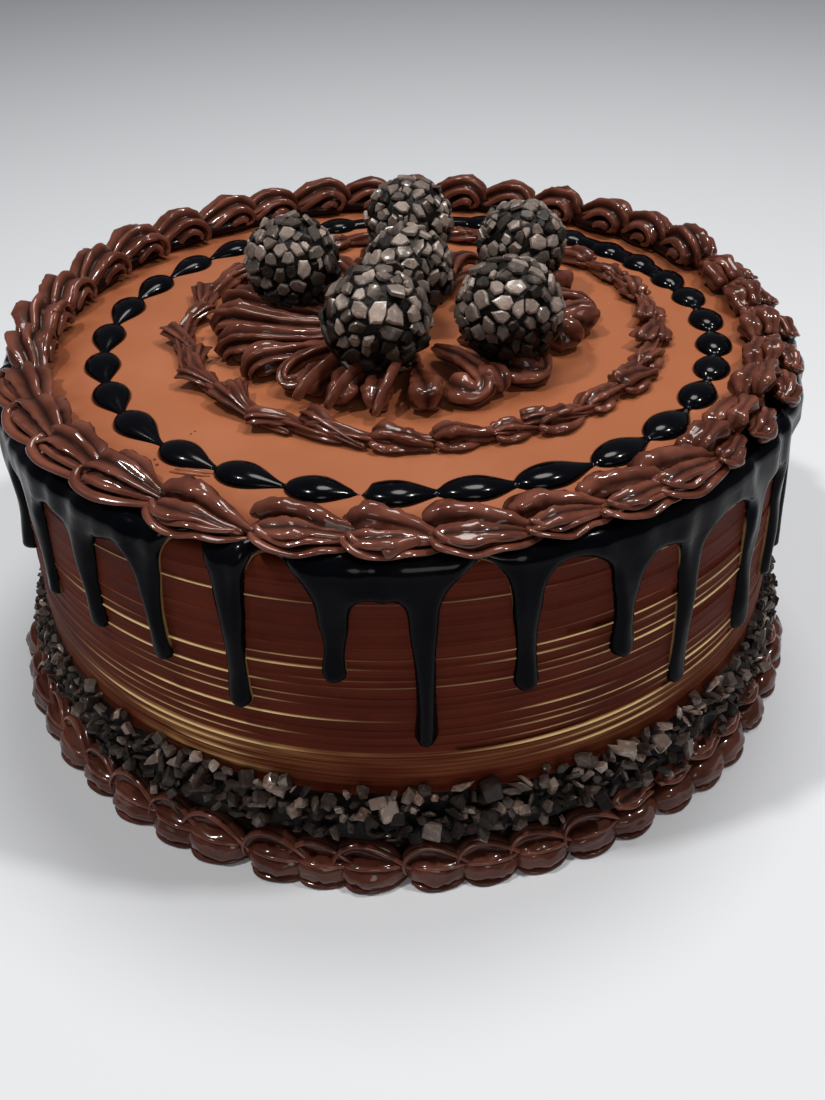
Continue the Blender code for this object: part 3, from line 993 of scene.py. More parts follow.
@dataclass(frozen=True)
class Squeeze:
    """One press of the piping bag: its ribs, its points round and along it, and its stations.

    Each station, from tail to head, is along, aside, lift, half width and half height in millimetres.
    The last field is the least painted shade that the whole stroke gets, from 0 to 1.
    """

    nozzle: Nozzle
    segments: int
    rings: int
    stations: tuple[Station, ...]
    hollow: float = 0.0

    def varied(self, draw: Draw) -> "Squeeze":
        """The same press with the nozzle held a little differently."""
        nozzle = replace(
            self.nozzle,
            depth=self.nozzle.depth * draw.uniform(0.85, 1.15),
            twist=self.nozzle.twist + draw.uniform(-0.35, 0.35),
            phase=self.nozzle.phase + draw.uniform(-0.2, 0.2),
        )
        return replace(self, nozzle=nozzle)


def press(nozzle: Nozzle, segments: int, rings: int, *stations: Station, hollow: float = 0.0) -> Squeeze:
    """One press of the piping bag."""
    return Squeeze(nozzle, segments, rings, stations, hollow)


def thread(*stations: Station, segments: int = 14, rings: int = 22) -> Squeeze:
    """A thin ridge that the nozzle drew on a shell."""
    return press(Nozzle(3, 0.22, 1.4, 0.3, 0.4, 0.05, 0.2), segments, rings, *stations)


def pipe(shape: Shape, stroke: Squeeze, place: Placer, seed: float) -> None:
    """Adds one stroke of the piping bag.

    Args:
        shape: the mesh that it is added to.
        stroke: the press that makes it.
        place: puts a local point, in metres, on the cake.
        seed: what makes this stroke's small unevenness its own.
    """
    nozzle = stroke.nozzle
    part = new_shape("hollow")
    hollow = part.verts.layers.float["hollow"]
    made = ball(part, stroke.segments, stroke.rings)
    lines: list[tuple[Vector, Vector, Vector, float]] = []
    side = Vector((0.0, 1.0, 0.0))
    for ring in range(stroke.rings + 1):
        share = ring / stroke.rings
        here = glide(stroke.stations, share)
        before, after = (Vector(glide(stroke.stations, share + step)[:3]) for step in (-0.01, 0.01))
        run = (after - before).normalized()
        side = (side - run * side.dot(run)).normalized()
        cap = math.sqrt(max(0.0, 1.0 - (1.0 - min(min(share, 1.0 - share) / ROUNDED_END, 1.0)) ** 2))
        cap *= 1.0 + nozzle.beads * math.sin(TURN * 2.4 * share + 7.0 * seed)
        lines.append((Vector(here[:3]), side * here[3] * cap, run.cross(side) * here[4] * cap, share))
    for vert in made:
        centre, side, up, share = lines[ring_of(vert, stroke.rings)]
        angle = math.atan2(vert.co.y, vert.co.x)
        reach = nozzle.reach(angle + nozzle.phase + nozzle.twist * share)
        local = centre + (side * math.cos(angle) + up * math.sin(angle)) * reach
        grain = noise.noise(Vector((local.x * 0.16 + seed, local.y * 0.2, local.z * 0.2)))
        fold = abs(noise.noise(Vector((local.x * 0.3, local.y * 0.3 + seed, local.z * 0.3 - seed))))
        local = centre + (local - centre) * (1.0 + nozzle.uneven * (2.0 * grain + 2.6 * fold - 0.5))
        local.z = max(local.z, LOWEST_POINT)
        vert.co = place(local.x * MM, local.y * MM, local.z * MM)
        # Painted shade: darker grooves by the nozzle's shadow, a contact shadow near the seat, a darker
        # crease in each fold, and the stroke's own least shade.
        groove = min(1.0, (1.0 - reach) / max(nozzle.depth, 0.12))
        contact = 0.75 * ease(1.0 - local.z / CONTACT_HEIGHT)
        crease = 0.8 * nozzle.uneven * ease(1.0 - fold / 0.07)
        vert[hollow] = min(1.0, max(stroke.hollow, nozzle.shadow * groove**1.5, contact) + crease)
    lay(shape, part)


def ring_placer(
    head: float,
    radius: float,
    height: float,
    centre: Sequence[float] = (0.0, 0.0),
    turn: float = 0.0,
    size: float = 1.0,
) -> Placer:
    """Puts a stroke on a ring with its head clockwise.

    Args:
        head: direction of the stroke's head, in radians.
        radius: the ring's radius, in metres.
        height: height of what the stroke lies on, in metres.
        centre: the ring's centre, in metres.
        turn: how far the stroke is turned on the spot, in radians.
        size: share of full size.

    Returns:
        A function from local along, aside and lift to a point on the cake.
    """

    def place(along: float, aside: float, lift: float) -> Vector:
        """Maps one local point."""
        run = size * (along * math.cos(turn) - aside * math.sin(turn))
        out = size * (along * math.sin(turn) + aside * math.cos(turn))
        return on_ring(head - run / radius, radius + out, height + size * lift, centre)

    return place


class ShellStyle(Enum):
    """How a shell of the rope was piped, which changes as the baker's hand went round."""

    RIBBON = "thin ridges that curl over at the head like a breaking wave"
    CURL = "steep C-shaped curls stacked on each other"
    PETAL = "flat folded petals with sharp edges"
    LOBE = "fat long lobes with one deep groove along the top"
    KNOB = "short shells with rounded knobs"


# The filling under the ribbons and the curls, all of it in painted shade.
ROPE_BASE = press(
    Nozzle(4, 0.05, 1.0), 12, 8,
    (-18.0, 0.6, 1.2, 3.0, 1.8), (-10.0, 0.2, 2.0, 5.2, 2.6), (-2.0, -0.4, 2.2, 5.6, 2.8),
    (4.0, -0.4, 1.6, 4.0, 2.0),
    hollow=1.0,
)
SHELLS: dict[ShellStyle, tuple[Squeeze, ...]] = {
    ShellStyle.RIBBON: (
        ROPE_BASE,
        press(
            Nozzle(5, 0.46, 2.8, 0.9, 0.3, 0.08, 0.95), 45, 26,
            (-19.0, 1.0, 1.4, 1.5, 1.2), (-14.0, 1.8, 3.0, 3.0, 2.3), (-9.5, 1.8, 5.0, 4.4, 3.4),
            (-5.0, 1.0, 6.8, 5.2, 4.2), (-1.0, 0.2, 7.6, 5.6, 4.4), (2.4, -0.3, 6.9, 5.4, 4.2),
            (4.4, -0.5, 5.0, 5.0, 3.6), (4.2, -0.4, 3.0, 4.2, 2.8), (2.2, 0.0, 1.8, 3.2, 1.8),
        ),
        thread(
            (-12.5, -2.8, 1.6, 0.8, 0.8), (-8.0, -4.0, 4.6, 1.0, 1.0), (-3.0, -4.8, 7.3, 1.1, 1.1),
            (1.4, -5.2, 7.6, 1.1, 1.1), (4.4, -5.4, 5.2, 1.1, 1.0), (3.8, -5.4, 2.9, 1.0, 0.9),
            (1.0, -5.2, 2.0, 0.8, 0.7),
        ),
        thread(
            (-5.0, -4.8, 1.8, 0.8, 0.8), (-2.6, -5.4, 3.6, 1.2, 1.2), (0.4, -5.7, 4.4, 1.4, 1.4),
            (2.2, -5.6, 3.2, 1.1, 1.1),
            rings=12,
        ),
        thread(
            (-5.0, 5.2, 3.0, 2.0, 2.0), (-1.6, 6.2, 4.4, 2.9, 2.8), (1.8, 6.2, 4.2, 2.8, 2.7),
            (4.4, 5.6, 2.8, 1.9, 1.8),
            rings=12,
        ),
    ),
    ShellStyle.CURL: (
        ROPE_BASE,
        press(
            Nozzle(6, 0.5, 2.6, 0.5, 0.2, 0.08, 0.95), 45, 24,
            (-18.0, 0.0, 1.4, 2.0, 1.4), (-13.0, 0.4, 2.8, 4.2, 2.6), (-8.5, 0.4, 4.8, 5.8, 3.8),
            (-4.0, 0.2, 6.6, 6.8, 4.4), (-0.4, 0.0, 7.2, 7.2, 4.6), (2.6, 0.0, 6.0, 7.0, 4.4),
            (4.2, 0.0, 3.6, 6.0, 3.6), (3.4, 0.0, 1.8, 4.6, 2.4),
        ),
        thread(
            (-12.0, -3.4, 2.2, 0.8, 0.8), (-8.0, -4.6, 5.6, 1.1, 1.0), (-3.4, -5.4, 8.2, 1.3, 1.1),
            (1.0, -6.0, 8.6, 1.4, 1.1), (4.6, -6.4, 6.4, 1.3, 1.1), (5.6, -6.6, 3.4, 1.2, 1.0),
            (3.8, -6.6, 1.2, 1.0, 0.9),
        ),
        thread(
            (-7.0, -5.2, 1.6, 0.8, 0.8), (-4.4, -6.0, 4.2, 1.1, 1.0), (-0.8, -6.6, 5.6, 1.3, 1.1),
            (2.0, -6.9, 4.2, 1.2, 1.0), (1.8, -6.9, 2.0, 1.0, 0.9),
        ),
    ),
    ShellStyle.PETAL: (
        press(
            Nozzle(6, 0.46, 2.6, 0.15, 0.2, 0.12, 0.95), 45, 22,
            (-20.0, 1.5, 0.9, 1.0, 0.7), (-14.0, 0.8, 2.2, 2.8, 1.5), (-8.5, 0.2, 3.6, 4.8, 2.3),
            (-3.0, 0.0, 4.8, 6.2, 2.9), (1.5, 0.0, 5.2, 7.0, 3.1), (4.8, 0.0, 4.3, 7.2, 2.9),
            (6.4, 0.0, 2.8, 6.8, 2.1),
        ),
        thread(
            (-17.0, 3.0, 1.0, 0.7, 0.6), (-11.0, 5.4, 1.6, 1.2, 0.7), (-5.0, 7.4, 2.0, 1.6, 0.8),
            (0.5, 8.6, 2.6, 1.8, 0.8), (4.5, 8.2, 3.8, 1.6, 0.8), (6.4, 6.2, 4.8, 1.2, 0.7),
            (6.6, 3.6, 5.2, 1.0, 0.6),
        ),
        thread(
            (-15.0, 2.6, 1.8, 0.7, 0.6), (-9.0, 4.6, 3.0, 1.0, 0.7), (-3.0, 6.0, 4.2, 1.1, 0.7),
            (2.0, 6.4, 4.6, 1.1, 0.7), (5.4, 5.4, 3.6, 0.9, 0.6),
        ),
    ),
    ShellStyle.LOBE: (
        press(
            Nozzle(3, 0.2, 1.3, 0.7, 0.4, 0.18, 0.85), 30, 22,
            (-20.0, 3.0, 0.9, 0.9, 0.8), (-15.0, 1.8, 1.8, 1.9, 1.7), (-10.0, 0.2, 2.9, 2.9, 2.5),
            (-5.0, -1.4, 3.8, 3.6, 3.1), (-0.5, -2.2, 4.2, 3.9, 3.3), (3.0, -2.2, 3.8, 3.8, 3.1),
            (5.6, -1.8, 3.0, 3.2, 2.6), (6.8, -1.4, 2.2, 2.2, 1.8),
        ),
        press(
            Nozzle(4, 0.32, 1.6, 0.5, 0.9, 0.18, 0.9), 36, 22,
            (-17.0, 3.8, 1.0, 1.0, 0.8), (-12.0, 4.2, 2.1, 2.0, 1.4), (-7.0, 4.6, 3.0, 3.0, 2.1),
            (-2.5, 5.0, 3.3, 3.5, 2.4), (1.5, 5.0, 3.1, 3.4, 2.4), (4.2, 4.4, 2.2, 2.7, 1.9),
            (5.4, 4.0, 1.5, 1.6, 1.2),
        ),
        thread(
            (-19.0, 4.4, 0.6, 0.7, 0.45), (-13.5, 6.6, 0.7, 1.3, 0.45), (-8.5, 8.2, 1.6, 1.5, 0.5),
            (-4.0, 8.6, 0.7, 1.6, 0.5), (0.5, 9.0, 1.9, 1.6, 0.5), (4.0, 7.8, 2.9, 1.3, 0.6),
            (5.6, 5.2, 3.2, 1.0, 0.6),
        ),
        thread(
            (-16.0, 4.4, 1.9, 0.6, 0.5), (-11.0, 6.2, 2.4, 1.0, 0.5), (-6.0, 7.4, 3.3, 1.1, 0.5),
            (-1.5, 7.7, 2.6, 1.2, 0.5), (2.5, 7.0, 4.0, 1.0, 0.6), (4.6, 4.8, 4.9, 0.8, 0.6),
        ),
    ),
    ShellStyle.KNOB: (
        press(
            Nozzle(4, 0.22, 1.4, 0.9, 0.3, 0.16, 0.65, 0.16), 26, 20,
            (-15.0, 1.0, 1.4, 1.2, 1.1), (-10.0, -1.4, 3.0, 2.4, 2.2), (-5.0, -3.0, 4.2, 3.0, 2.7),
            (-0.5, -3.8, 4.3, 3.2, 2.8), (3.2, -3.8, 3.3, 3.0, 2.6), (5.2, -3.4, 2.3, 2.0, 1.8),
        ),
        press(
            Nozzle(4, 0.24, 1.5, 0.9, 0.1, 0.16, 0.65, 0.2), 26, 20,
            (-14.0, 1.8, 2.0, 1.2, 1.1), (-9.0, 1.0, 4.6, 2.2, 1.9), (-4.5, 0.8, 6.2, 2.6, 2.2),
            (-0.5, 0.8, 6.4, 2.7, 2.3), (2.8, 0.6, 4.9, 2.5, 2.2), (4.4, 0.4, 3.2, 1.8, 1.6),
        ),
        press(
            Nozzle(5, 0.34, 1.8, 0.7, 0.5, 0.16, 0.75, 0.14), 28, 18,
            (-13.0, 3.0, 1.5, 1.2, 0.9), (-9.0, 4.4, 2.6, 2.3, 1.6), (-4.5, 5.6, 3.3, 2.9, 1.9),
            (-0.5, 6.2, 3.1, 3.0, 1.9), (2.4, 5.8, 2.2, 2.2, 1.5),
        ),
        thread(
            (-10.0, 5.4, 1.4, 0.9, 0.6), (-5.0, 7.8, 2.6, 1.3, 0.7), (-1.0, 8.8, 1.5, 1.4, 0.7),
            (2.4, 8.2, 2.9, 1.1, 0.7), (4.0, 6.2, 3.9, 0.8, 0.6),
        ),
        thread(
            (-4.0, 8.0, 1.2, 1.0, 1.0), (-1.6, 8.6, 1.5, 1.7, 1.5), (0.6, 8.2, 1.4, 1.4, 1.3),
            (1.8, 7.6, 1.2, 0.8, 0.8),
            rings=12,
        ),
    ),
}
# The stray nub beside one front shell.
NUB = thread(
    (-5.0, 5.0, 2.8, 1.3, 1.2), (-1.5, 6.6, 2.6, 1.6, 1.5), (1.5, 8.0, 1.8, 1.8, 1.7),
    (2.6, 8.4, 1.4, 1.3, 1.2),
)
# The direction in degrees up to which each way of piping goes.
ROPE_STYLES = (
    (22.0, ShellStyle.KNOB),
    (128.0, ShellStyle.RIBBON),
    (196.0, ShellStyle.CURL),
    (236.0, ShellStyle.PETAL),
    (312.0, ShellStyle.LOBE),
    (math.inf, ShellStyle.KNOB),
)


@dataclass
class TopRope:
    """The border of ridged shells piped round the top edge."""

    radius: float = 105.9 * MM
    front_heads: tuple[float, ...] = (
        -140.4, -130.2, -118.4, -104.8, -94.0, -83.8, -73.2, -63.1, -55.1, -46.0, -37.7,
    )
    back_heads: tuple[float, ...] = (55.3, 65.5, 75.3, 85.3, 94.0, 103.0, 113.6, 122.5)
    gaps_each_side: int = 9
    nub_at: float = -91.0

    def heads(self) -> list[float]:
        """Direction of each shell's head, in degrees: those seen, and even steps between them."""
        draw = Draw(SEED + 3)
        heads = list(self.front_heads)
        for start, end, seen in (
            (self.front_heads[-1], self.back_heads[0], self.back_heads),
            (self.back_heads[-1], self.front_heads[0] + 360.0, ()),
        ):
            step = (end - start) / self.gaps_each_side
            heads += [start + step * (k + draw.uniform(-0.08, 0.08)) for k in range(1, self.gaps_each_side)]
            heads += seen
        return heads

    def style(self, degrees: float) -> ShellStyle:
        """The way of piping at a direction."""
        return next(style for end, style in ROPE_STYLES if degrees % 360.0 < end)

    def build(self, finish: Finish) -> Piece:
        """Pipes every shell, each a little different, and one stray nub."""
        draw = Draw(SEED + 4)
        shape = new_shape("hollow")
        for index, head in enumerate(self.heads()):
            size = draw.uniform(0.94, 1.05)
            turn = draw.uniform(-0.1, 0.1)
            place = ring_placer(math.radians(head), self.radius, BODY.seat, turn=turn, size=size)
            for number, stroke in enumerate(SHELLS[self.style(head)]):
                stations = tuple(
                    (along + draw.uniform(-0.5, 0.5), aside + draw.uniform(-0.4, 0.4), *rest)
                    for along, aside, *rest in stroke.stations
                )
                moved = replace(stroke, stations=stations)
                pipe(shape, moved.varied(draw), place, 7.3 * index + number)
        place = ring_placer(math.radians(self.nub_at), self.radius, BODY.seat)
        pipe(shape, NUB, place, 1.0)
        return add_piece("top_rope", shape, finish, ["top_border"])


class FootStyle(Enum):
    """How a shell of the foot was piped."""

    CUP = "a fat lower lobe under thin ridges that curl over a dark hollow"
    FAT = "two fat lobes with a dark slit between them"


# What every shell of the foot has: a filling all in painted shade, a fat lower lobe with some painted shade
# and a thin edge on the ground.
FOOT_LOBE = (
    press(
        Nozzle(4, 0.05, 1.0), 12, 8,
        (-15.0, -4.6, 5.4, 1.6, 3.0), (-9.0, -4.4, 6.0, 2.4, 4.2), (-3.0, -4.2, 6.2, 2.6, 4.6),
        (2.0, -4.2, 6.0, 2.4, 4.4), (4.6, -4.4, 5.2, 1.8, 3.2),
        hollow=1.0,
    ),
    press(
        Nozzle(3, 0.14, 1.0, 0.4, 0.5, 0.1, 0.5), 30, 20,
        (-12.5, -2.2, 2.3, 1.0, 1.2), (-9.5, -0.8, 2.9, 2.4, 2.3), (-6.0, 0.5, 3.5, 3.9, 3.3),
        (-2.0, 1.2, 3.8, 4.6, 3.7), (1.8, 1.1, 3.8, 4.5, 3.7), (4.8, 0.0, 3.4, 3.5, 3.0),
        (6.4, -1.3, 2.9, 2.0, 1.9),
        hollow=0.42,
    ),
    thread(
        (-11.0, -1.0, 0.6, 0.8, 0.5), (-6.0, 2.8, 0.6, 1.7, 0.6), (-1.0, 4.2, 0.6, 1.9, 0.6),
        (3.0, 3.8, 0.6, 1.6, 0.6), (5.6, 1.4, 0.6, 1.0, 0.5),
        segments=10, rings=14,
    ),
)
FOOT_SHELLS: dict[FootStyle, tuple[Squeeze, ...]] = {
    FootStyle.CUP: (
        *FOOT_LOBE,
        # An upper body in painted shade, under the curled rim.
        press(
            Nozzle(3, 0.2, 1.4, 0.3, 0.4, 0.12), 16, 20,
            (-13.0, 1.4, 2.8, 0.8, 0.8), (-9.6, 0.4, 5.0, 1.6, 1.6), (-5.6, -1.0, 6.8, 2.3, 2.5),
            (-1.4, -2.2, 8.0, 2.6, 3.0), (2.6, -2.4, 8.4, 2.6, 3.0), (5.4, -1.6, 7.8, 2.2, 2.6),
            (7.0, -0.2, 6.4, 1.6, 2.0), (7.2, 1.0, 4.8, 1.0, 1.2), (6.6, 1.6, 3.6, 0.5, 0.5),
            hollow=0.6,
        ),
        thread(
            (-13.4, 2.2, 3.2, 0.4, 0.4), (-9.8, 1.6, 6.0, 0.7, 0.5), (-5.8, 0.6, 8.6, 0.9, 0.65),
            (-1.5, -0.4, 10.2, 1.0, 0.7), (2.7, -0.6, 10.6, 1.0, 0.7), (5.8, 0.1, 9.6, 0.9, 0.65),
            (7.5, 1.2, 7.7, 0.7, 0.55), (7.8, 2.4, 5.6, 0.5, 0.45), (7.0, 2.8, 4.0, 0.35, 0.35),
            segments=10, rings=26,
        ),
        thread(
            (-9.0, 1.9, 6.0, 0.4, 0.4), (-5.0, 3.3, 6.8, 0.6, 0.5), (-1.0, 3.7, 7.1, 0.7, 0.5),
            (2.8, 3.3, 6.9, 0.6, 0.5), (5.4, 2.0, 6.0, 0.4, 0.4),
            segments=10, rings=16,
        ),
    ),
    FootStyle.FAT: (
        *FOOT_LOBE,
        press(
            Nozzle(4, 0.26, 1.5, 0.6, 0.9, 0.18, 0.8), 24, 18,
            (-12.5, -2.4, 6.6, 0.9, 1.0), (-8.8, -2.0, 8.4, 2.1, 2.0), (-4.8, -1.6, 9.7, 3.0, 2.7),
            (-1.0, -1.4, 10.2, 3.3, 3.0), (2.4, -1.4, 9.7, 2.9, 2.7), (4.6, -1.6, 8.4, 1.8, 1.8),
        ),
        thread(
            (-10.0, 0.4, 8.0, 0.6, 0.5), (-5.0, 1.4, 9.6, 1.0, 0.6), (-0.5, 1.9, 9.2, 1.2, 0.6),
            (3.4, 1.2, 10.2, 0.9, 0.6), (5.4, -0.6, 10.4, 0.6, 0.5),
            segments=10, rings=16,
        ),
    ),
}


@dataclass
class FootShells:
    """The shells piped round the foot."""

    count: int = 53

    def style(self, degrees: float) -> FootStyle:
        """The way of piping at a direction."""
        return FootStyle.CUP if 60.0 < degrees % 360.0 < 298.0 else FootStyle.FAT

    def build(self, finish: Finish) -> Piece:
        """Pipes the shells against the foot of the side."""
        draw = Draw(SEED + 5)
        shape = new_shape("hollow")
        for index in range(self.count):
            degrees = 360.0 * (index + draw.uniform(-0.16, 0.16)) / self.count
            radius = BODY.base_radius + (4.6 + 1.0 * math.cos(math.radians(degrees + 130.0))) * MM
            size = draw.uniform(0.9, 1.06)
            place = ring_placer(math.radians(degrees), radius, 0.0, turn=draw.uniform(-0.04, 0.04), size=size)
            for number, stroke in enumerate(FOOT_SHELLS[self.style(degrees)]):
                pipe(shape, stroke.varied(draw), place, 3.1 * index + number)
        for vert in shape.verts:
            vert.co.z = max(vert.co.z, 0.0)
        return add_piece("foot_shells", shape, finish, ["bottom_border"])


@dataclass
class LeafRing:
    """The thin leafy ring between the beads and the rosette: a twisted cord with petals, lobes and frills."""

    radius: float = 68.6 * MM
    count: int = 29
    cord: Squeeze = press(
        Nozzle(4, 0.42, 2.4, 2.2, 0.0, 0.12, 0.6), 28, 20,
        (-24.0, 1.6, 0.9, 1.0, 0.9), (-18.0, 1.4, 1.4, 1.7, 1.4), (-12.0, 0.6, 1.9, 2.3, 1.9),
        (-6.0, -0.4, 2.3, 2.7, 2.3), (-1.0, -1.0, 2.5, 2.9, 2.5), (2.5, -0.8, 2.2, 2.6, 2.2),
        (4.6, -0.2, 1.4, 1.8, 1.4),
    )
    lobe: Squeeze = press(
        Nozzle(4, 0.38, 1.8, 1.0, 0.4, 0.2, 0.85, 0.1), 28, 18,
        (-13.0, 1.8, 1.2, 1.0, 1.0), (-9.0, 1.6, 2.0, 2.2, 1.9), (-5.0, 1.0, 2.7, 3.1, 2.6),
        (-1.5, 0.4, 3.1, 3.7, 3.0), (1.2, 0.0, 2.9, 3.6, 2.8), (3.2, -0.2, 1.9, 2.5, 1.9),
    )
    frill: Squeeze = thread(
        (-11.0, 2.0, 0.7, 0.6, 0.6), (-6.5, 4.0, 1.0, 1.5, 0.7), (-3.0, 5.0, 1.7, 1.9, 0.8),
        (-0.5, 4.4, 1.2, 1.8, 0.8), (2.0, 4.6, 2.2, 1.5, 0.8), (3.4, 3.0, 2.4, 1.0, 0.7),
        rings=16,
    )
    petal: Squeeze = press(
        Nozzle(5, 0.42, 2.6, 0.3, 0.2, 0.1, 0.8), 30, 16,
        (-13.0, 0.0, 0.8, 0.6, 0.6), (-8.0, 0.0, 1.6, 1.3, 1.0), (-3.5, 0.0, 2.6, 2.2, 1.5),
        (0.5, 0.0, 3.4, 3.0, 1.8), (4.0, 0.0, 3.6, 3.6, 1.8), (6.4, 0.0, 3.0, 3.8, 1.5),
    )
    petalled_side: float = 190.0
    tips: tuple[tuple[float, float], ...] = ((-137.0, 1.0), (-57.0, 0.6))

    def build(self, finish: Finish) -> Piece:
        """Pipes the cord with petals to and fro on the left, and lobes, frills and a few petals elsewhere."""
        draw = Draw(SEED + 6)
        shape = new_shape("hollow")
        for index in range(self.count):
            head = TURN * (index + draw.uniform(-0.12, 0.12)) / self.count
            strokes = [(self.cord, 0.0, draw.uniform(-0.1, 0.1))]
            if degrees_apart(math.degrees(head), self.petalled_side) < 62.0:
                outwards = 1.0 if index % 2 else -1.0
                strokes.append((self.petal, 1.6 * outwards * MM, outwards * draw.uniform(0.35, 0.65)))
                if index % 3 == 0:
                    strokes.append((self.petal, 0.6 * MM, draw.uniform(-0.2, 0.2)))
            else:
                strokes.append((self.lobe, 0.0, draw.uniform(-0.3, 0.2)))
                strokes.append((self.frill, 0.0, draw.uniform(-0.1, 0.2)))
                if index % 4 == 0:
                    strokes.append((self.petal, -0.6 * MM, -draw.uniform(0.2, 0.4)))
            for number, (stroke, shift, turn) in enumerate(strokes):
                size = draw.uniform(0.85, 1.08) * (1.08 if stroke is self.petal else 0.94)
                place = ring_placer(head, self.radius + shift, BODY.seat, LEAF_CENTRE, turn, size)
                pipe(shape, stroke.varied(draw), place, 5.7 * index + number)
        for degrees, height in self.tips:
            tip = thread(
                (0.0, 1.0, 3.0, 1.5, 1.5),
                (0.6, 0.6, 5.0 * height, 0.8, 0.8),
                (1.6, 0.0, 7.0 * height, 0.25, 0.25),
                segments=10,
                rings=10,
            )
            place = ring_placer(math.radians(degrees), self.radius, BODY.seat, LEAF_CENTRE)
            pipe(shape, tip, place, degrees)
        return add_piece("leaf_ring", shape, finish, ["inner_ring"])


class StrokeKind(Enum):
    """The kinds of stroke in the rosette."""

    FAN = "a sheaf of thin ridges that rolls over at its end"
    BULB = "a neck that ends in a round knob"
    CURL = "a thick cord that loops aside round a knob"
    BLADE = "a thin upright fin between two knobs"


# Here a station is in shares of the stroke's run, bend, height, width and height again.
STROKES: dict[StrokeKind, Squeeze] = {
    StrokeKind.FAN: press(
        Nozzle(7, 0.5, 1.7, 0.3, 0.2, 0.1, 0.95), 42, 28,
        (0.0, 0.0, 0.45, 0.45, 0.4), (0.25, 0.02, 0.55, 0.6, 0.5), (0.5, 0.08, 0.7, 0.78, 0.64),
        (0.75, 0.3, 0.9, 0.94, 0.8), (0.92, 0.6, 1.0, 1.04, 0.92), (1.02, 0.85, 0.86, 1.04, 0.94),
        (1.07, 1.0, 0.55, 0.88, 0.76), (1.05, 1.02, 0.28, 0.6, 0.5),
    ),
    StrokeKind.BULB: press(
        Nozzle(4, 0.22, 1.5, 0.5, 0.4, 0.14, 0.9, 0.1), 42, 28,
        (0.2, 0.0, 0.6, 0.4, 0.36), (0.5, 0.05, 0.75, 0.5, 0.46), (0.7, 0.2, 0.85, 0.55, 0.5),
        (0.8, 0.4, 0.9, 0.78, 0.74), (0.9, 0.65, 0.95, 1.05, 1.0), (1.0, 0.9, 0.88, 1.1, 1.04),
        (1.08, 1.0, 0.62, 0.9, 0.84), (1.12, 1.0, 0.42, 0.5, 0.46),
    ),
    StrokeKind.CURL: press(
        Nozzle(4, 0.34, 1.7, 0.7, 0.3, 0.12, 0.9), 42, 28,
        (0.15, 0.1, 0.7, 0.4, 0.4), (0.4, 0.4, 1.0, 0.5, 0.5), (0.64, 0.85, 1.2, 0.6, 0.56),
        (0.86, 1.1, 1.15, 0.6, 0.56), (1.02, 0.9, 0.95, 0.55, 0.52), (1.08, 0.4, 0.7, 0.5, 0.5),
        (1.04, -0.1, 0.66, 0.8, 0.72), (0.94, -0.5, 0.7, 0.95, 0.86), (0.82, -0.6, 0.66, 0.7, 0.7),
    ),
    StrokeKind.BLADE: press(
        Nozzle(3, 0.16, 1.0, 0.1, 0.0, 0.06, 0.1), 16, 28,
        (0.3, 0.0, 1.1, 0.7, 0.2), (0.5, 0.1, 1.5, 0.9, 0.3), (0.72, 0.4, 1.7, 1.0, 0.36),
        (0.9, 1.0, 1.45, 1.0, 0.4), (1.04, 1.7, 0.9, 0.9, 0.4), (1.1, 2.1, 0.36, 0.6, 0.3),
    ),
}


@dataclass(frozen=True)
class Stroke:
    """One stroke of the rosette: direction, reach, how far it bends aside, its width, height and kind."""

    angle: float
    reach: float
    bend: float
    width: float
    height: float
    kind: StrokeKind


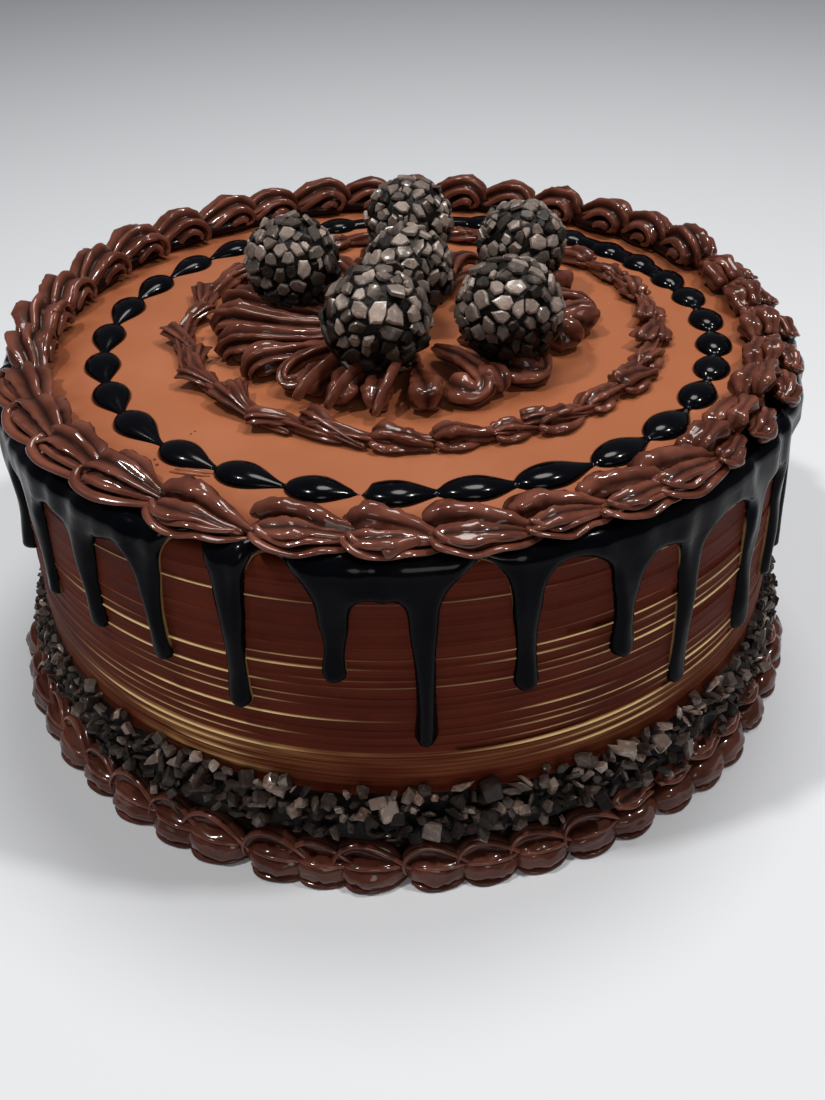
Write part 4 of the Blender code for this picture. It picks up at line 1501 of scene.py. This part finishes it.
@dataclass
class Rosette:
    """The strokes piped inwards to the middle, under the truffles."""

    start: float = 14.0
    end_gap: float = 5.0

    def strokes(self) -> list[Stroke]:
        """The strokes, from the left ones that fan out to the knobs in front and the loops on the right."""
        fan, bulb, curl, blade = StrokeKind.FAN, StrokeKind.BULB, StrokeKind.CURL, StrokeKind.BLADE
        rows = [
            (138.0, 50.0, -4.0, 5.4, 5.0, fan), (156.0, 54.0, -6.0, 6.0, 5.4, fan),
            (172.0, 56.0, -8.0, 6.2, 5.6, fan), (187.0, 56.0, -9.0, 6.2, 5.6, fan),
            (203.0, 55.0, -8.0, 6.0, 5.2, fan), (217.0, 53.0, -6.0, 5.2, 4.8, fan),
            (229.0, 52.0, -4.5, 3.8, 4.6, curl), (236.5, 50.5, -1.0, 4.3, 4.6, bulb),
            (242.0, 55.0, -3.0, 1.2, 5.4, blade), (247.0, 51.5, 0.0, 4.2, 4.6, bulb),
            (253.5, 55.5, -3.4, 1.2, 5.6, blade), (259.0, 52.0, 0.0, 4.0, 4.4, bulb),
            (266.5, 56.0, -3.0, 1.3, 5.8, blade), (273.0, 52.5, 1.0, 4.9, 4.8, bulb),
            (289.0, 52.0, 4.6, 5.6, 4.8, curl), (296.0, 50.0, 3.0, 4.2, 4.4, bulb),
            (314.0, 52.0, 5.0, 5.4, 4.8, curl), (338.0, 52.0, 4.0, 4.4, 5.0, bulb),
            (351.0, 55.0, 4.0, 4.6, 5.2, bulb), (4.0, 56.0, 4.0, 4.6, 5.4, curl),
            (19.0, 55.0, 4.0, 4.4, 5.2, bulb), (38.0, 54.0, 6.0, 5.0, 5.0, curl),
            (58.0, 52.0, 6.0, 5.2, 5.0, curl), (80.0, 51.0, 6.0, 5.2, 4.8, curl),
            (99.0, 50.0, 5.0, 5.4, 5.0, fan), (119.0, 50.0, 2.0, 5.4, 5.0, fan),
        ]
        return [Stroke(*row) for row in rows]

    def placer(self, stroke: Stroke) -> Placer:
        """Puts a stroke on its ray from the middle."""
        angle = math.radians(stroke.angle)
        out = Vector((math.cos(angle), math.sin(angle), 0.0))
        across = Vector((-math.sin(angle), math.cos(angle), 0.0))
        middle = Vector((*ROSETTE_CENTRE, BODY.seat))

        def place(along: float, aside: float, lift: float) -> Vector:
            """Maps one local point."""
            return middle + out * along + across * aside + Vector((0.0, 0.0, lift))

        return place

    def build(self, finish: Finish) -> Piece:
        """Pipes the strokes."""
        draw = Draw(SEED + 7)
        shape = new_shape("hollow")
        for index, stroke in enumerate(self.strokes()):
            kind = STROKES[stroke.kind]
            run = stroke.reach - self.end_gap - self.start
            scale = (run, stroke.bend, stroke.height, stroke.width, stroke.height)
            rows = []
            for station in kind.stations:
                along, *rest = [size * share for size, share in zip(scale, station)]
                rows.append((self.start + along, *rest))
            whole = replace(kind, stations=tuple(rows))
            pipe(shape, whole.varied(draw), self.placer(stroke), 4.1 * index)
        return add_piece("truffle_rosette", shape, finish, ["centre_rosette"])


@dataclass
class BeadString:
    """The string of glaze beads, each a teardrop that runs into the neck of the next."""

    centre: tuple[float, float] = (2.8 * MM, -0.1 * MM)
    radius: float = 88.9 * MM
    half_width: float = 5.2 * MM
    neck: float = 0.95 * MM
    height: float = 3.2 * MM
    neck_height: float = 0.55 * MM
    gloss: float = 0.45
    heads: tuple[float, ...] = (
        -93.1, -80.7, -68.7, -55.3, -43.3, -30.8, -19.9, -10.4, 0.1, 10.9, 20.0, 30.2, 39.2, 49.9, 60.6, 71.2,
        82.0, 93.4, 105.0, 117.4, 130.5, 142.3, 154.6, 166.3, 178.8, 191.3, 203.7, 215.7, 229.5, 241.9, 254.8,
    )
    first_gap: float = 12.4
    last_gap: float = 11.0
    first_tail: float = 5.2
    last_tail: float = 7.0
    rings_each: int = 22
    segments: int = 18

    def stretch(self, head: float) -> float:
        """How long drawn a bead is: 1 in front and 0 at the sides."""
        return math.exp(-((degrees_apart(head, -75.0) / 38.0) ** 2))

    def merging(self, degrees: float) -> float:
        """How wide the necks are: the beads at the back run into each other."""
        return 0.62 * ease(1.9 - degrees_apart(degrees, 62.0) / 34.0)

    def width_at(self, degrees: float) -> float:
        """Half width of the string at a direction from its centre, as a share of a bead's."""
        share = 0.0
        for index, head in enumerate(self.heads):
            gap = degrees - head
            if gap > 0.0:
                after = self.heads[index + 1] - head if index + 1 < len(self.heads) else self.last_gap
                width = (0.5 + 0.5 * math.cos(math.pi * min(1.0, gap / (0.62 * after)))) ** 0.8
            else:
                before = head - self.heads[index - 1] if index else self.first_gap
                reach = min(0.5 * before, 4.3 + 1.5 * self.stretch(head))
                width = max(0.0, 1.0 - (gap / reach) ** 2) ** 0.66
            share = max(share, (1.0 + 0.1 * wander(math.radians(head), 6.0, 20.0)) * width)
        return share

    def build(self, finish: Finish) -> Piece:
        """Draws one tube round the ring, wide at each bead and thin at each neck."""
        shape = new_shape("thin", "pool")
        pool = shape.verts.layers.float["pool"]
        rings = self.rings_each * len(self.heads)
        first, last = self.heads[0] - self.first_tail, self.heads[-1] + self.last_tail
        widths: dict[int, float] = {}
        for vert in ball(shape, self.segments, rings):
            ring = ring_of(vert, rings)
            angle = math.atan2(vert.co.y, vert.co.x)
            degrees = first + (last - first) * ring / rings
            if ring not in widths:
                widths[ring] = max(self.width_at(degrees), self.merging(degrees))
            share = widths[ring]
            ends = min(1.0, ring / 3.0, (rings - ring) / 3.0)
            half = (self.neck + (self.half_width - self.neck) * share) * ends
            tall = (self.neck_height + (self.height - self.neck_height) * share**0.8) * ends
            lift = tall * max(0.0, math.sin(angle)) ** 0.85
            sway = 0.5 * MM * wander(math.radians(degrees), 9.0, 5.0)
            place = self.radius + half * math.cos(angle) + sway
            vert.co = on_ring(math.radians(degrees), place, BODY.table - 0.1 * MM + lift, self.centre)
            vert[pool] = self.gloss
        bmesh.ops.remove_doubles(shape, verts=shape.verts, dist=0.001 * MM)
        bmesh.ops.recalc_face_normals(shape, faces=shape.faces)
        return add_piece("bead_string", shape, finish, ["bead_ring"])


# Truffles and chips


@dataclass
class Truffles:
    """The truffles, each a ball paved with flat flakes that lie a little askew."""

    places: tuple[tuple[float, float, float], ...] = (
        (-30.8, 13.5, 27.6), (4.5, 45.0, 27.2), (3.4, 5.1, 26.6), (-5.8, -30.3, 29.0), (38.5, 24.2, 26.2),
        (30.5, -25.2, 28.4),
    )
    bottom: float = 101.4 * MM
    flakes: int = 132
    corners: int = 7
    widest: float = 0.30
    gap: float = 0.5 * MM
    thickness: float = 1.4 * MM
    layers: tuple[tuple[float, float], ...] = ((0.7, 1.0), (0.3, 0.78))
    tilt: float = 0.22
    sharp_angle: float = 38.0

    def directions(self, draw: Draw) -> list[Vector]:
        """Directions spread over a ball, unevenly but without clumps."""
        golden = math.pi * (3.0 - math.sqrt(5.0))
        spots = []
        for index in range(self.flakes):
            height = 1.0 - 2.0 * (index + 0.5) / self.flakes
            ring = math.sqrt(1.0 - height * height)
            spot = Vector((ring * math.cos(golden * index), ring * math.sin(golden * index), height))
            wobble = Vector([draw.gauss(0.0, 0.12) for _ in range(3)])
            spots.append((spot + wobble).normalized())
        turn = Matrix.Rotation(draw.uniform(0.0, TURN), 3, Vector((draw.random(), draw.random(), 1.0)))
        return [turn @ spot for spot in spots]

    def reaches(self, spot: Vector, across: Vector, up: Vector, others: list[Vector]) -> list[float]:
        """How far a flake's corners reach before they meet its neighbours, as shares of the ball's radius."""
        reaches = []
        for corner in range(self.corners):
            turn = TURN * corner / self.corners
            aim = across * math.cos(turn) + up * math.sin(turn)
            limit = self.widest
            for other in others:
                offset = other - spot
                facing = offset.dot(aim)
                if facing > 0.02:
                    limit = min(limit, 0.5 * offset.length_squared / facing)
            reaches.append(limit)
        return reaches

    def flake(self, whole: Shape, spot: Vector, others: list[Vector], radius: float, draw: Draw) -> None:
        """Adds one flake whose corners stop short of its neighbours'.

        Args:
            whole: the mesh that it is added to.
            spot: its direction from the ball's middle.
            others: the directions of its neighbours.
            radius: the ball's radius.
            draw: the source of chance.
        """
        shape = new_shape("tone_and_light")
        tone_and_light = shape.verts.layers.float["tone_and_light"]
        across = spot.orthogonal().normalized()
        up = spot.cross(across)
        made = bmesh.ops.create_circle(shape, cap_ends=True, segments=self.corners, radius=1.0)["verts"]
        reach = [limit * radius - 0.5 * self.gap for limit in self.reaches(spot, across, up, others)]
        for vert in made:
            turn = math.atan2(vert.co.y, vert.co.x)
            corner = round(turn / TURN * self.corners) % self.corners
            smooth = 0.8 * reach[corner] + 0.1 * (reach[corner - 1] + reach[(corner + 1) % self.corners])
            length = min(smooth, reach[corner] * 1.06) * draw.uniform(0.86, 1.08)
            vert.co = Vector((length * math.cos(turn), length * math.sin(turn), 0.0))
        faces = list(made[0].link_faces)
        for rise, narrowing in self.layers:
            lifted = bmesh.ops.extrude_face_region(shape, geom=faces)["geom"]
            faces = [part for part in lifted if isinstance(part, bmesh.types.BMFace)]
            rim = [part for part in lifted if isinstance(part, bmesh.types.BMVert)]
            bmesh.ops.translate(shape, verts=rim, vec=(0.0, 0.0, rise * self.thickness))
            bmesh.ops.scale(shape, verts=rim, vec=(narrowing, narrowing, 1.0))
        nod = Matrix.Rotation(draw.gauss(0.0, self.tilt), 4, "X")
        lean = Matrix.Rotation(draw.gauss(0.0, self.tilt), 4, "Y")
        facing = Matrix((across, up, spot)).transposed().to_4x4()
        lift = radius - 0.75 * self.thickness + draw.uniform(-0.45, 0.35) * MM
        move = Matrix.Translation(spot * lift) @ facing @ nod @ lean
        bmesh.ops.transform(shape, matrix=move, verts=shape.verts)
        # Each flake gets its own tone; the layer then paints it darker on the lower half of the ball and in
        # shade on the flake's sides.
        shade_and_tone = min(max(0.44 + draw.gauss(0.0, 0.34), 0.04), 1.0)
        for vert in shape.verts:
            high = vert.co.length > radius - 0.2 * MM
            light = 0.1 + 0.9 * ease(0.5 + 1.0 * vert.co.z / radius)
            vert[tone_and_light] = shade_and_tone * light * (1.0 if high else 0.3)
        lay(whole, shape)

    def build(self, finish: Finish) -> None:
        """Makes each truffle as a piece of its own."""
        for index, (across, along, diameter) in enumerate(self.places, 1):
            draw = Draw(SEED + 10 + index)
            radius = 0.5 * diameter * MM
            centre = Vector((across * MM, along * MM, self.bottom + radius))
            shape = new_shape("tone_and_light")
            # The ball under the flakes keeps the darkest level, the painted shade in the gaps.
            bmesh.ops.create_icosphere(shape, subdivisions=3, radius=radius - 0.75 * MM)
            spots = self.directions(draw)
            for spot in spots:
                others = sorted(spots, key=lambda other: (other - spot).length_squared)[1:10]
                self.flake(shape, spot, others, radius, draw)
            bmesh.ops.translate(shape, verts=shape.verts, vec=centre)
            bmesh.ops.recalc_face_normals(shape, faces=shape.faces)
            piece = add_piece(f"flaked_truffle_{index}", shape, finish, [f"truffle_{index}"])
            piece.data.set_sharp_from_angle(angle=math.radians(self.sharp_angle))


@dataclass
class ChipBand:
    """The broken chips pressed on the side above the foot, heaped on a lumpy core."""

    low: float = 14.5
    high: float = 30.5
    count: int = 960
    strays: int = 26
    size_range: tuple[float, float] = (2.4, 4.5)
    pebbles: float = 0.74
    core_steps: int = 140
    core_outline: tuple[tuple[float, float], ...] = (
        (-0.4, 12.0), (3.4, 12.5), (3.6, 16.5), (2.2, 21.0), (0.7, 24.5), (-0.4, 26.0),
    )
    sharp_angle: float = 30.0

    def chip(self, whole: Shape, spot: Vector, size: float, shade_and_tone: float, draw: Draw) -> None:
        """Adds one chip, turned at random: a faceted pebble, or a block with broken edges."""
        shape = new_shape("tone_and_light")
        tone_and_light = shape.verts.layers.float["tone_and_light"]
        pebble = draw.random() < self.pebbles
        if pebble:
            made = bmesh.ops.create_icosphere(shape, subdivisions=1, radius=0.58 * size)["verts"]
            for vert in made:
                vert.co *= draw.uniform(0.62, 1.15)
        else:
            made = bmesh.ops.create_cube(shape, size=size)["verts"]
            for vert in made:
                vert.co += Vector([draw.uniform(-0.13, 0.13) * size for _ in range(3)])
        kind = draw.random()
        if kind < 0.3:
            stretch = (draw.uniform(0.8, 1.1), draw.uniform(0.6, 1.0), draw.uniform(0.22, 0.38))
        elif kind < 0.6:
            stretch = (draw.uniform(1.0, 1.35), draw.uniform(0.4, 0.6), draw.uniform(0.35, 0.6))
        else:
            stretch = (draw.uniform(0.7, 1.0), draw.uniform(0.7, 1.0), draw.uniform(0.5, 0.9))
        bmesh.ops.scale(shape, verts=made, vec=stretch)
        if not pebble:
            edges = shape.edges[:]
            bmesh.ops.bevel(
                shape, geom=edges, offset=0.08 * size, segments=1, profile=0.5, affect="EDGES", material=-1
            )
        axis = Vector([draw.gauss(0.0, 1.0) for _ in range(3)]).normalized()
        turn = Matrix.Rotation(draw.uniform(0.0, TURN), 4, axis)
        for vert in shape.verts:
            vert[tone_and_light] = shade_and_tone
        lay(whole, shape, Matrix.Translation(spot) @ turn)

    def core(self, draw: Draw) -> Shape:
        """The lumpy band behind the chips, at the darkest level, which paints the shade between them."""
        outline = [(BODY.wall(height * MM) + out * MM, height * MM) for out, height in self.core_outline]
        shape = turned(outline, self.core_steps, closed=True)
        shape.verts.layers.float.new("tone_and_light")
        for vert in shape.verts:
            if vert.co.xy.length > BODY.wall(vert.co.z) + 0.5 * MM:
                vert.co = vert.co + vert.co.xy.to_3d().normalized() * draw.uniform(-0.7, 0.7) * MM
        return shape

    def build(self, finish: Finish) -> Piece:
        """Heaps the chips on the core."""
        draw = Draw(SEED + 30)
        shape = self.core(draw)
        for index in range(self.count):
            angle = TURN * (index + draw.uniform(-0.4, 0.4)) / self.count
            share = (0.5 + 0.618034 * index + draw.uniform(-0.12, 0.12)) % 1.0
            ragged = 1.6 * wander(angle, 2.0, 14.0)
            height = self.low + 1.0 + (self.high - self.low - 2.6 + ragged) * share
            front = ease(1.5 - degrees_apart(math.degrees(angle), 275.0) / 45.0)
            size = draw.uniform(*self.size_range) * (0.88 + 0.36 * front)
            out = 4.6 * (1.0 - share) ** 0.7 + 0.3 * size
            spot = on_ring(angle, BODY.wall(height * MM) + out * MM, height * MM)
            # Some chips are painted as catching the light, more of them in front, and the lower chips are
            # painted darker, in shade.
            pale = draw.random() < 0.16 + 0.08 * front
            shade_and_tone = draw.uniform(0.6, 1.0) if pale else draw.uniform(0.02, 0.32)
            shade_and_tone *= 0.15 + 0.85 * share
            self.chip(shape, spot, size * MM, min(shade_and_tone, 1.0), draw)
        for _ in range(self.strays):
            angle = draw.uniform(0.0, TURN)
            height = draw.uniform(11.4, 13.6)
            size = draw.uniform(2.4, 3.8)
            spot = on_ring(angle, BODY.wall(height * MM) + draw.uniform(4.6, 6.6) * MM, height * MM)
            self.chip(shape, spot, size * MM, draw.uniform(0.2, 0.6), draw)
        bmesh.ops.recalc_face_normals(shape, faces=shape.faces)
        piece = add_piece("chip_heap", shape, finish, ["chip_band"])
        piece.data.set_sharp_from_angle(angle=math.radians(self.sharp_angle))
        return piece


# Studio


# Each light is its name, place, size in metres, power in watts and tint.
LIGHTS = (
    ("overhead", (0.12, 0.30, 1.15), 0.40, 4.9, (1.0, 0.97, 0.93)),
    ("glint_left", (-0.38, -0.12, 0.95), 0.07, 3.7, (1.0, 0.97, 0.92)),
    ("glint_right", (0.42, -0.05, 0.9), 0.07, 3.1, (1.0, 0.97, 0.92)),
    ("front_fill", (0.15, -1.2, 0.8), 0.5, 2.0, (1.0, 0.95, 0.88)),
)


@dataclass
class Studio:
    """The pale floor, the soft lights and the camera."""

    camera_place: tuple[float, float, float] = (0.0, -0.3138, 0.2470)
    focal_pixels: float = 1145.57
    frame_pixels: tuple[int, int] = (825, 1100)
    pitch: float = 36.17
    yaw: float = 0.47
    roll: float = -1.5
    floor_size: float = 12.0
    aim_height: float = 70.0 * MM

    def build(self) -> None:
        """Builds the floor, lights and camera."""
        self.add_floor()
        self.add_camera()
        self.add_lights()
        bpy.context.scene.view_settings.view_transform = "Standard"

    def add_floor(self) -> None:
        """A wide plain floor under the cake."""
        shape = bmesh.new()
        bmesh.ops.create_grid(shape, x_segments=1, y_segments=1, size=0.5 * self.floor_size)
        mesh = bpy.data.meshes.new("floor")
        shape.to_mesh(mesh)
        shape.free()
        mesh.materials.append(PaleFloor().make())
        floor = bpy.data.objects.new("floor", mesh)
        bpy.context.scene.collection.objects.link(floor)

    def add_camera(self) -> None:
        """The camera at the photograph's place and angle."""
        data = bpy.data.cameras.new("camera")
        data.sensor_width = 36.0
        data.lens = self.focal_pixels * data.sensor_width / max(self.frame_pixels)
        data.clip_start = 0.01
        pitch, yaw, roll = (math.radians(angle) for angle in (self.pitch, self.yaw, self.roll))
        ahead = Vector((math.sin(yaw) * math.cos(pitch), math.cos(yaw) * math.cos(pitch), -math.sin(pitch)))
        level = Vector((math.cos(yaw), -math.sin(yaw), 0.0))
        above = level.cross(ahead)
        right = level * math.cos(roll) + above * math.sin(roll)
        up = above * math.cos(roll) - level * math.sin(roll)
        camera = bpy.data.objects.new("camera", data)
        turn = Matrix((right, up, -ahead)).transposed().to_4x4()
        camera.matrix_world = Matrix.Translation(Vector(self.camera_place)) @ turn
        bpy.context.scene.collection.objects.link(camera)
        bpy.context.scene.camera = camera

    def add_lights(self) -> None:
        """Round lights that face the cake, broad overhead, small for glints and weak in front."""
        for name, place, size, power, tint in LIGHTS:
            data = bpy.data.lights.new(name, "AREA")
            data.shape = "DISK"
            data.size = size
            data.energy = power
            data.color = tint
            lamp = bpy.data.objects.new(name, data)
            lamp.location = place
            aim = Vector((0.0, 0.0, self.aim_height)) - Vector(place)
            lamp.rotation_euler = aim.to_track_quat("-Z", "Y").to_euler()
            bpy.context.scene.collection.objects.link(lamp)
        world = bpy.data.worlds.new("studio")
        world.use_nodes = True
        background = world.node_tree.nodes["Background"]
        background.inputs["Color"].default_value = (0.88, 0.92, 1.0, 1.0)
        background.inputs["Strength"].default_value = 0.11
        bpy.context.scene.world = world


def main() -> None:
    """Builds the cake piece by piece."""
    logging.basicConfig(level=logging.INFO, format="%(message)s")
    Studio().build()
    piped = PipedGanache().make()
    glaze = DarkGlaze().make()
    CombedSide().build(CombedFrosting().make())
    TopGanache().build(MilkGanache().make())
    DripGlaze().build(glaze)
    BeadString().build(glaze)
    TopRope().build(piped)
    LeafRing().build(piped)
    Rosette().build(piped)
    Truffles().build(FLAKE_CRUST.make())
    FootShells().build(piped)
    ChipBand().build(CHOCOLATE_CHIPS.make())


if __name__ == "__main__":
    main()
